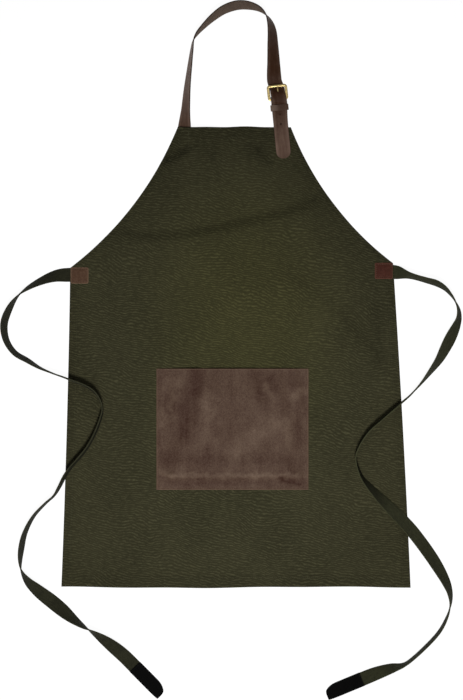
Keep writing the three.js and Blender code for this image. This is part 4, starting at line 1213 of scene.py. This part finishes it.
def cut_from(piece, *punches):
    for punch in punches:
        cut = piece.modifiers.new("punch", "BOOLEAN")
        cut.object, cut.operation, cut.solver = punch, "DIFFERENCE", "EXACT"
    result = bpy.data.meshes.new_from_object(piece.evaluated_get(bpy.context.evaluated_depsgraph_get()))
    piece.modifiers.clear()
    piece.data = result
    result.set_sharp_from_angle(angle=math.radians(40))
    for punch in punches:
        bpy.data.objects.remove(punch)


prong_route = through(PRONG_ROWS, 6)
from_tip = np.linalg.norm(prong_route - prong_route[0], axis=1)
blunt = 0.35 + 0.65 * np.sqrt(np.clip(from_tip / 0.0012, 0, 1))
prong_radii = PRONG_RADIUS * blunt * (0.8 + 0.2 * smoothstep(from_tip, 0, 0.012))
prong = round_bar("prong", prong_route, prong_radii, 12)
hole_bar = [round_bar("prong_hole", prong_route, np.full(len(prong_route), PRONG_RADIUS + 0.0005), 12)]
for aside, along in HOLES:
    angle = np.linspace(0, TAU, 16, endpoint=False)
    hole_x, hole_y = aside + HOLE_RADIUS * np.cos(angle), along + HOLE_RADIUS * np.sin(angle)
    rim = [on_buckle(hole_x, hole_y, up) for up in (0.002, 0.012)]
    hole_bar.append(piece_from("punch", np.vstack(rim), ring_faces(2, 16)))
cut_from(neck_strap, *hole_bar)
print("holes punched:", len(HOLES), "and one for the prong")

# %% [markdown]
# The short strap behind the right corner of the bib folds over the heel bar and back under itself. In
# side view it is a plain curve, so its strip runs along that curve with its width always level. The
# slot that lets the prong through is cut in the same way as the holes.

# %% Buckle strap
FOLD_ROWS = [  # along, up
    (-0.086, 0.00115), (-0.058, 0.00115), (-0.041, 0.0012), (-0.036, 0.0015), (-0.031, 0.0031),
    (-0.026, 0.0052), (-0.022, 0.0055), (-0.011, 0.0055), (-0.0065, 0.0066), (-0.003, 0.0088),
    (0, 0.0094), (0.003, 0.0086), (0.0044, 0.006), (0.003, 0.0034), (0, 0.00275), (-0.005, 0.00295),
    (-0.013, 0.003), (-0.022, 0.003),
]
FOLD_ASIDE = -0.0010           # it lies a little to the left of the tail
SLOT = {"width": 0.0044, "length": 0.013, "along": -0.0005, "from": -0.0006, "to": 0.0134}

fold_route = through(FOLD_ROWS, 6)
fold_run = np.gradient(fold_route, axis=0)
fold_run /= np.linalg.norm(fold_run, axis=1)[:, None]
level = on_buckle(1, 0, 0) - on_buckle(0, 0, 0)
fold_centre = on_buckle(FOLD_ASIDE, fold_route[:, 0], fold_route[:, 1])
fold_face = on_buckle(0, -fold_run[:, 1], fold_run[:, 0]) - on_buckle(0, 0, 0)
fold_lie = (fold_centre, np.broadcast_to(level, fold_centre.shape), -fold_face)
buckle_strap, fold_along = strip_piece("buckle_strap_leather", fold_lie, strap_ring)
mark_faces(buckle_strap, len(fold_along), np.full(len(fold_along), 0.3))
half_slot, bow = SLOT["length"] / 2 - SLOT["width"] / 2, np.radians(np.linspace(0, 180, 7))
slot_aside = np.concatenate([np.cos(bow), -np.cos(bow)]) * SLOT["width"] / 2
slot_end = half_slot + np.sin(bow) * SLOT["width"] / 2
slot_along = np.concatenate([slot_end, -slot_end])
slot_rims = [on_buckle(slot_aside, SLOT["along"] + slot_along, up) for up in (SLOT["from"], SLOT["to"])]
cut_from(buckle_strap, piece_from("slot_punch", np.vstack(slot_rims), ring_faces(2, len(slot_aside))))
print("buckle strap:", round(fold_along[-1], 3), "m along its fold")

# %% [markdown]
# The keeper is a leather band round both layers of strap, and the buckle frame is a brass bar bent into
# a rounded rectangle. Both are one section carried round a closed path, so they share a path function.
# The band's section is flat with eased edges; the bar's section is a soft-cornered oval.

# %% Keeper and buckle frame
def rounded_path(width, height, corner, cells):
    """Points round a rectangle with round corners, and the outward direction at each."""
    w, h = width / 2 - corner, height / 2 - corner
    places, outward = [], []
    for k, (x, y) in enumerate(((w, h), (-w, h), (-w, -h), (w, -h))):
        for angle in np.radians(np.linspace(0, 90, 7) + 90 * k):
            places.append((x + corner * math.cos(angle), y + corner * math.sin(angle)))
            outward.append((math.cos(angle), math.sin(angle)))
        ahead = ((-w, h), (-w, -h), (w, -h), (w, h))[k]
        side = np.array([math.cos(math.pi / 2 * (k + 1)), math.sin(math.pi / 2 * (k + 1))])
        for t in np.linspace(0, 1, cells + 1)[1:-1]:
            places.append(np.array((x, y)) * (1 - t) + np.array(ahead) * t + side * corner)
            outward.append(side)
    return np.array(places), np.array(outward)


KEEPER = {"along": -0.0158, "aside": -0.0002, "length": 0.011, "height": 0.0126, "wall": 0.0016,
          "spare": 0.0016}
BUCKLE = {"width": 0.0380, "bars": 0.0247, "bar": 0.0052, "thick": 0.0032, "z": 0.0044,
          "corner": 0.0060, "aside": -0.0010}

band_width = STRAP_WIDTH + KEEPER["wall"] + 2 * KEEPER["spare"]
band, band_out = rounded_path(band_width, KEEPER["height"] - KEEPER["wall"], 0.0022, 12)
band_ring = strip_ring(KEEPER["length"], KEEPER["wall"], 0.00045, 6)
band_x = band[:, :1] + band_out[:, :1] * band_ring[:, 1]
band_z = band[:, 1:] + band_out[:, 1:] * band_ring[:, 1] + KEEPER["height"] / 2
band_points = on_buckle(KEEPER["aside"] + band_x, KEEPER["along"] + band_ring[:, 0], band_z)
keeper = piece_from("strap_keeper_leather", band_points.reshape(-1, 3),
                    ring_faces(len(band), len(band_ring), looped=True))

bar, bar_out = rounded_path(
    BUCKLE["width"] - BUCKLE["bar"], BUCKLE["bars"], BUCKLE["corner"] - BUCKLE["bar"] / 2, 10)
turn = np.linspace(0, TAU, 18, endpoint=False)
oval = np.stack([np.sign(f) * np.abs(f) ** 0.68 for f in (np.cos(turn), np.sin(turn))], axis=1)
oval *= (BUCKLE["bar"] / 2, BUCKLE["thick"] / 2)
bar_x = BUCKLE["aside"] + bar[:, :1] + bar_out[:, :1] * oval[:, 0]
bar_y = bar[:, 1:] + bar_out[:, 1:] * oval[:, 0] + BUCKLE["bars"] / 2
bar_z = BUCKLE["z"] + BUCKLE["thick"] / 2 + oval[:, 1]
buckle = piece_from("buckle_bar", on_buckle(bar_x, bar_y, bar_z).reshape(-1, 3),
                    ring_faces(len(bar), len(oval), looped=True))
# Painted highlight: the keeper's left side is paler, where light falls on it.
keeper_highlight = 1 - smoothstep(band_x, -0.012, 0.002)
set_attribute(keeper, "wear_and_highlight", keeper_highlight)
print("keeper and buckle:", len(keeper.data.polygons), len(buckle.data.polygons), "faces")

# %% [markdown]
# Strap leather is smoother than the pocket's. On its grain side fine pores and long streaks run with
# the strap, so the pattern follows the strip's own map, and towards its edges it is painted paler, a
# painted sheen. The flesh side is paler and fibrous. Attributes that were set on the strips choose
# between the sides and the cut edges.

# %% Strap leather
def strap_finish():
    strap = Finish("brown_strap_leather", Specular_IOR_Level=0.1)
    flesh, cut, paleness = (strap.attribute(name) for name in ("flesh", "cut", "paleness"))
    pores = strap.node("TexVoronoi", {"feature": "SMOOTH_F1"}, {
        "Vector": strap.place(), "Scale": 1100.0, "Smoothness": 0.4})
    streak = strap.noise(strap.along((210, 26, 1)), detail=4, rough=0.6)
    blotch = strap.noise(strap.place((48, 48, 48)), detail=3, rough=0.6)
    fibre = strap.noise(strap.place((620, 620, 620)), detail=3, rough=0.7)
    across = strap.node("SeparateXYZ", None, {"Vector": strap.along()}, out="X").size()
    # Painted sheen: the grain is paler towards the edges of the strip.
    wear_and_highlight = strap.between(across, 0.006, 0.0125)
    tone = (streak * 0.5 + blotch * 0.5 + paleness * 0.72 + wear_and_highlight * 0.24 - pores * 0.15 - 0.47).clamped()
    grain_side = strap.blend(tone, shade(58, 35, 20), shade(121, 99, 86))
    fuzz = (fibre * 0.8 + blotch * 0.5 - 0.15).clamped()
    flesh_side = strap.blend(fuzz, shade(70, 56, 46), shade(116, 100, 88))
    colour = strap.blend(flesh, grain_side, flesh_side)
    colour = strap.blend(cut * 0.8, colour, shade(44, 32, 25))
    rough = 0.5 + flesh * 0.35 + fibre * 0.12 - paleness * 0.06
    height = fibre * (0.2 + flesh * 0.8) - pores * (1 - flesh)
    return strap.surface(colour, rough, height, 0.0002)


STRAP_LEATHER = strap_finish()
finish_piece(neck_strap, STRAP_LEATHER, "strap_leather", "neck_strap")
finish_piece(buckle_strap, STRAP_LEATHER, "strap_leather", "buckle_strap")
finish_piece(
    keeper,
    leather_finish("brown_keeper_leather", shade(50, 32, 22), shade(92, 72, 59), shade(128, 110, 98),
                   0.0010, 0.0002, 0.1),
    "strap_leather", "strap_keeper")

# %% [markdown]
# The buckle is pale brass. A metal's colour is the colour of its reflections, so the work is in the
# roughness: hand-polished bars have soft, slightly uneven gloss and a thin dull film here and there.

# %% Pale brass
def brass_finish():
    brass = Finish("pale_brass", Metallic=1.0)
    film = brass.noise(brass.place((260, 260, 260)), detail=3, rough=0.6)
    scratch = brass.noise(brass.place((2200, 300, 900)), detail=2)
    colour = brass.blend(brass.between(film, 0.35, 0.75), shade(216, 194, 136), shade(190, 166, 108))
    return brass.surface(colour, 0.34 + film * 0.1 + scratch * 0.08, scratch, 0.00005)


PALE_BRASS = brass_finish()
finish_piece(buckle, PALE_BRASS, "brass", "buckle_frame")
finish_piece(prong, PALE_BRASS, "brass", "buckle_prong")

# %% [markdown]
# Thread holds the rest together too: rows of stitches along the hems, round the pocket and round the
# patches. They are over a thousand, and the recipe that sewed the tabs makes them all. It only needs
# each seam as a line of points on the upper face of its sheet.

# %% Seam lines
def on_face(faces, x, y, *rest):
    """Points on the upper face of a sheet, a touch above it."""
    x, y = np.broadcast_arrays(x, y)
    return np.stack([x, y + waver(x, y), faces(x, y, *rest)[1] + 0.00012], axis=-1)


def box_line(middle_x, middle_y, width, height):
    """A closed rectangle of points with round corners."""
    path, _ = rounded_path(width, height, 0.002, 24)
    return (np.vstack([path, path[:1]]) + (middle_x, middle_y)).T


SEAM_END = 0.004               # how far short of the edges the hems' seams stop
hem_y = np.linspace(HEM_Y + SEAM_END, BIB_Y - SEAM_END, 420)
bottom_x = np.linspace(HEM_LEFT + SEAM_END, HEM_RIGHT - SEAM_END, 260)
bib_x = np.linspace(BIB_LEFT + SEAM_END, BIB_RIGHT - SEAM_END, 90)
hem_lines = [
    on_face(canvas_faces, left_x(hem_y) + SEAM_SHARE * hem_run(left_x, hem_y, WAIST_LEFT), hem_y),
    on_face(canvas_faces, right_x(hem_y) - SEAM_SHARE * hem_run(right_x, hem_y, WAIST_RIGHT), hem_y),
    on_face(canvas_faces, bottom_x, HEM_Y + SEAM_SHARE * BOTTOM_HEM),
    on_face(canvas_faces, bib_x, BIB_Y - SEAM_SHARE * BIB_HEM),
    on_face(canvas_faces, *box_line(-0.0965, 0.2845, 0.018, 0.030)),
    on_face(canvas_faces, *box_line(0.0865, 0.2870, 0.018, 0.030)),
]
down_y = np.linspace(POCKET_TOP - 0.002, POCKET_BOTTOM + POCKET_INSET, 90)
over_x = np.linspace(POCKET_LEFT + POCKET_INSET, POCKET_RIGHT - POCKET_INSET, 110)
pocket_line = np.vstack([
    on_face(pocket_faces, POCKET_LEFT + POCKET_INSET, down_y),
    on_face(pocket_faces, over_x, POCKET_BOTTOM + POCKET_INSET)[1:],
    on_face(pocket_faces, POCKET_RIGHT - POCKET_INSET, down_y[::-1])[1:],
])
sewn_width, sewn_length = PATCH_WIDTH - 2 * PATCH_SEAM, PATCH_HEIGHT - 2 * PATCH_SEAM
patch_lines = [on_face(patch_faces, *box_line(*middle, sewn_width, sewn_length), middle)
               for middle in patch_middles.values()]
print("seams:", len(hem_lines), "on the canvas, 1 on the pocket,", len(patch_lines), "on the patches")

# %% [markdown]
# The canvas is sewn with olive thread and the leather with a thicker brown one. Stitches are longest
# round the pocket and shortest round the small patches.

# %% Thread and stitches
OLIVE_THREAD = thread_finish("olive_thread", shade(44, 42, 28), shade(84, 82, 58))
BROWN_THREAD = thread_finish("brown_thread", shade(62, 46, 36), shade(112, 92, 76))
for name, lines, thread, slot, sizes in (
    ("hem_stitches", hem_lines, OLIVE_THREAD, "canvas", (0.0036, 0.0028, 0.0006)),
    ("pocket_stitches", [pocket_line], BROWN_THREAD, "pocket_leather", (0.0042, 0.0033, 0.0008)),
    ("patch_stitches", patch_lines, BROWN_THREAD, "patch_leather", (0.0034, 0.0026, 0.0007)),
):
    pitch, length, width = sizes
    row = STITCH_ROW.grow(name, seam_mesh(name, lines), Pitch=pitch, Length=length, Width=width,
                          Seed=3, Thread=thread)
    finish_piece(row, thread, slot)

# %% [markdown]
# The floor is a plain pale sheet that glows a little, so that it reads as a white sweep with only faint
# shadows. It lies a hair under the part, so that no face of the cloth shares its level.

# %% Floor
def pale_floor():
    floor = Finish("pale_floor", Emission_Color=(1, 1, 1, 1), Emission_Strength=0.96, Specular_IOR_Level=0.0)
    mottle = floor.noise(floor.place((3, 3, 3)), detail=2)
    colour = floor.blend(mottle, (0.09, 0.09, 0.09, 1), (0.11, 0.11, 0.11, 1))
    return floor.surface(colour, 0.9, mottle, 0.0001)


FLOOR_SIZE = 6.0
FLOOR_Z = -0.0002
corners = [(x * FLOOR_SIZE, y * FLOOR_SIZE, FLOOR_Z) for x, y in ((-1, -1), (1, -1), (1, 1), (-1, 1))]
floor = piece_from("floor", corners, [(0, 1, 2, 3)])
floor.data.materials.append(pale_floor())
print("floor:", 2 * FLOOR_SIZE, "m wide")

# %% [markdown]
# The main light is a far spot, high over the hem's side: it models the folds and throws the ties' shadows
# towards the bib. A dim wide lamp and a dim world fill the shadows.

# %% Light
def add_light(name, kind, place, aim, energy, **settings):
    data = bpy.data.lights.new(name, kind)
    data.energy = energy
    for key, value in settings.items():
        setattr(data, key, value)
    made = bpy.data.objects.new(name, data)
    made.location = place
    made.rotation_euler = (Vector(aim) - Vector(place)).to_track_quat("-Z", "Y").to_euler()
    bpy.context.collection.objects.link(made)


world = bpy.data.worlds.new("studio")
world.use_nodes = True
world.node_tree.nodes["Background"].inputs["Color"].default_value = (1, 1, 1, 1)
world.node_tree.nodes["Background"].inputs["Strength"].default_value = 0.12
bpy.context.scene.world = world
add_light("lamp_above", "AREA", (0.0, -0.15, 1.5), (0.0, -0.15, 0), 3.5, shape="DISK", size=1.1)
add_light("spot_from_hem", "SPOT", (0.0, -2.4, 6.0), (0, -0.35, 0), 1800, spot_size=math.radians(18),
          spot_blend=1.0, shadow_soft_size=0.5)
bpy.context.scene.view_settings.view_transform = "Standard"
print("lamps:", [lamp.name for lamp in bpy.data.lights])
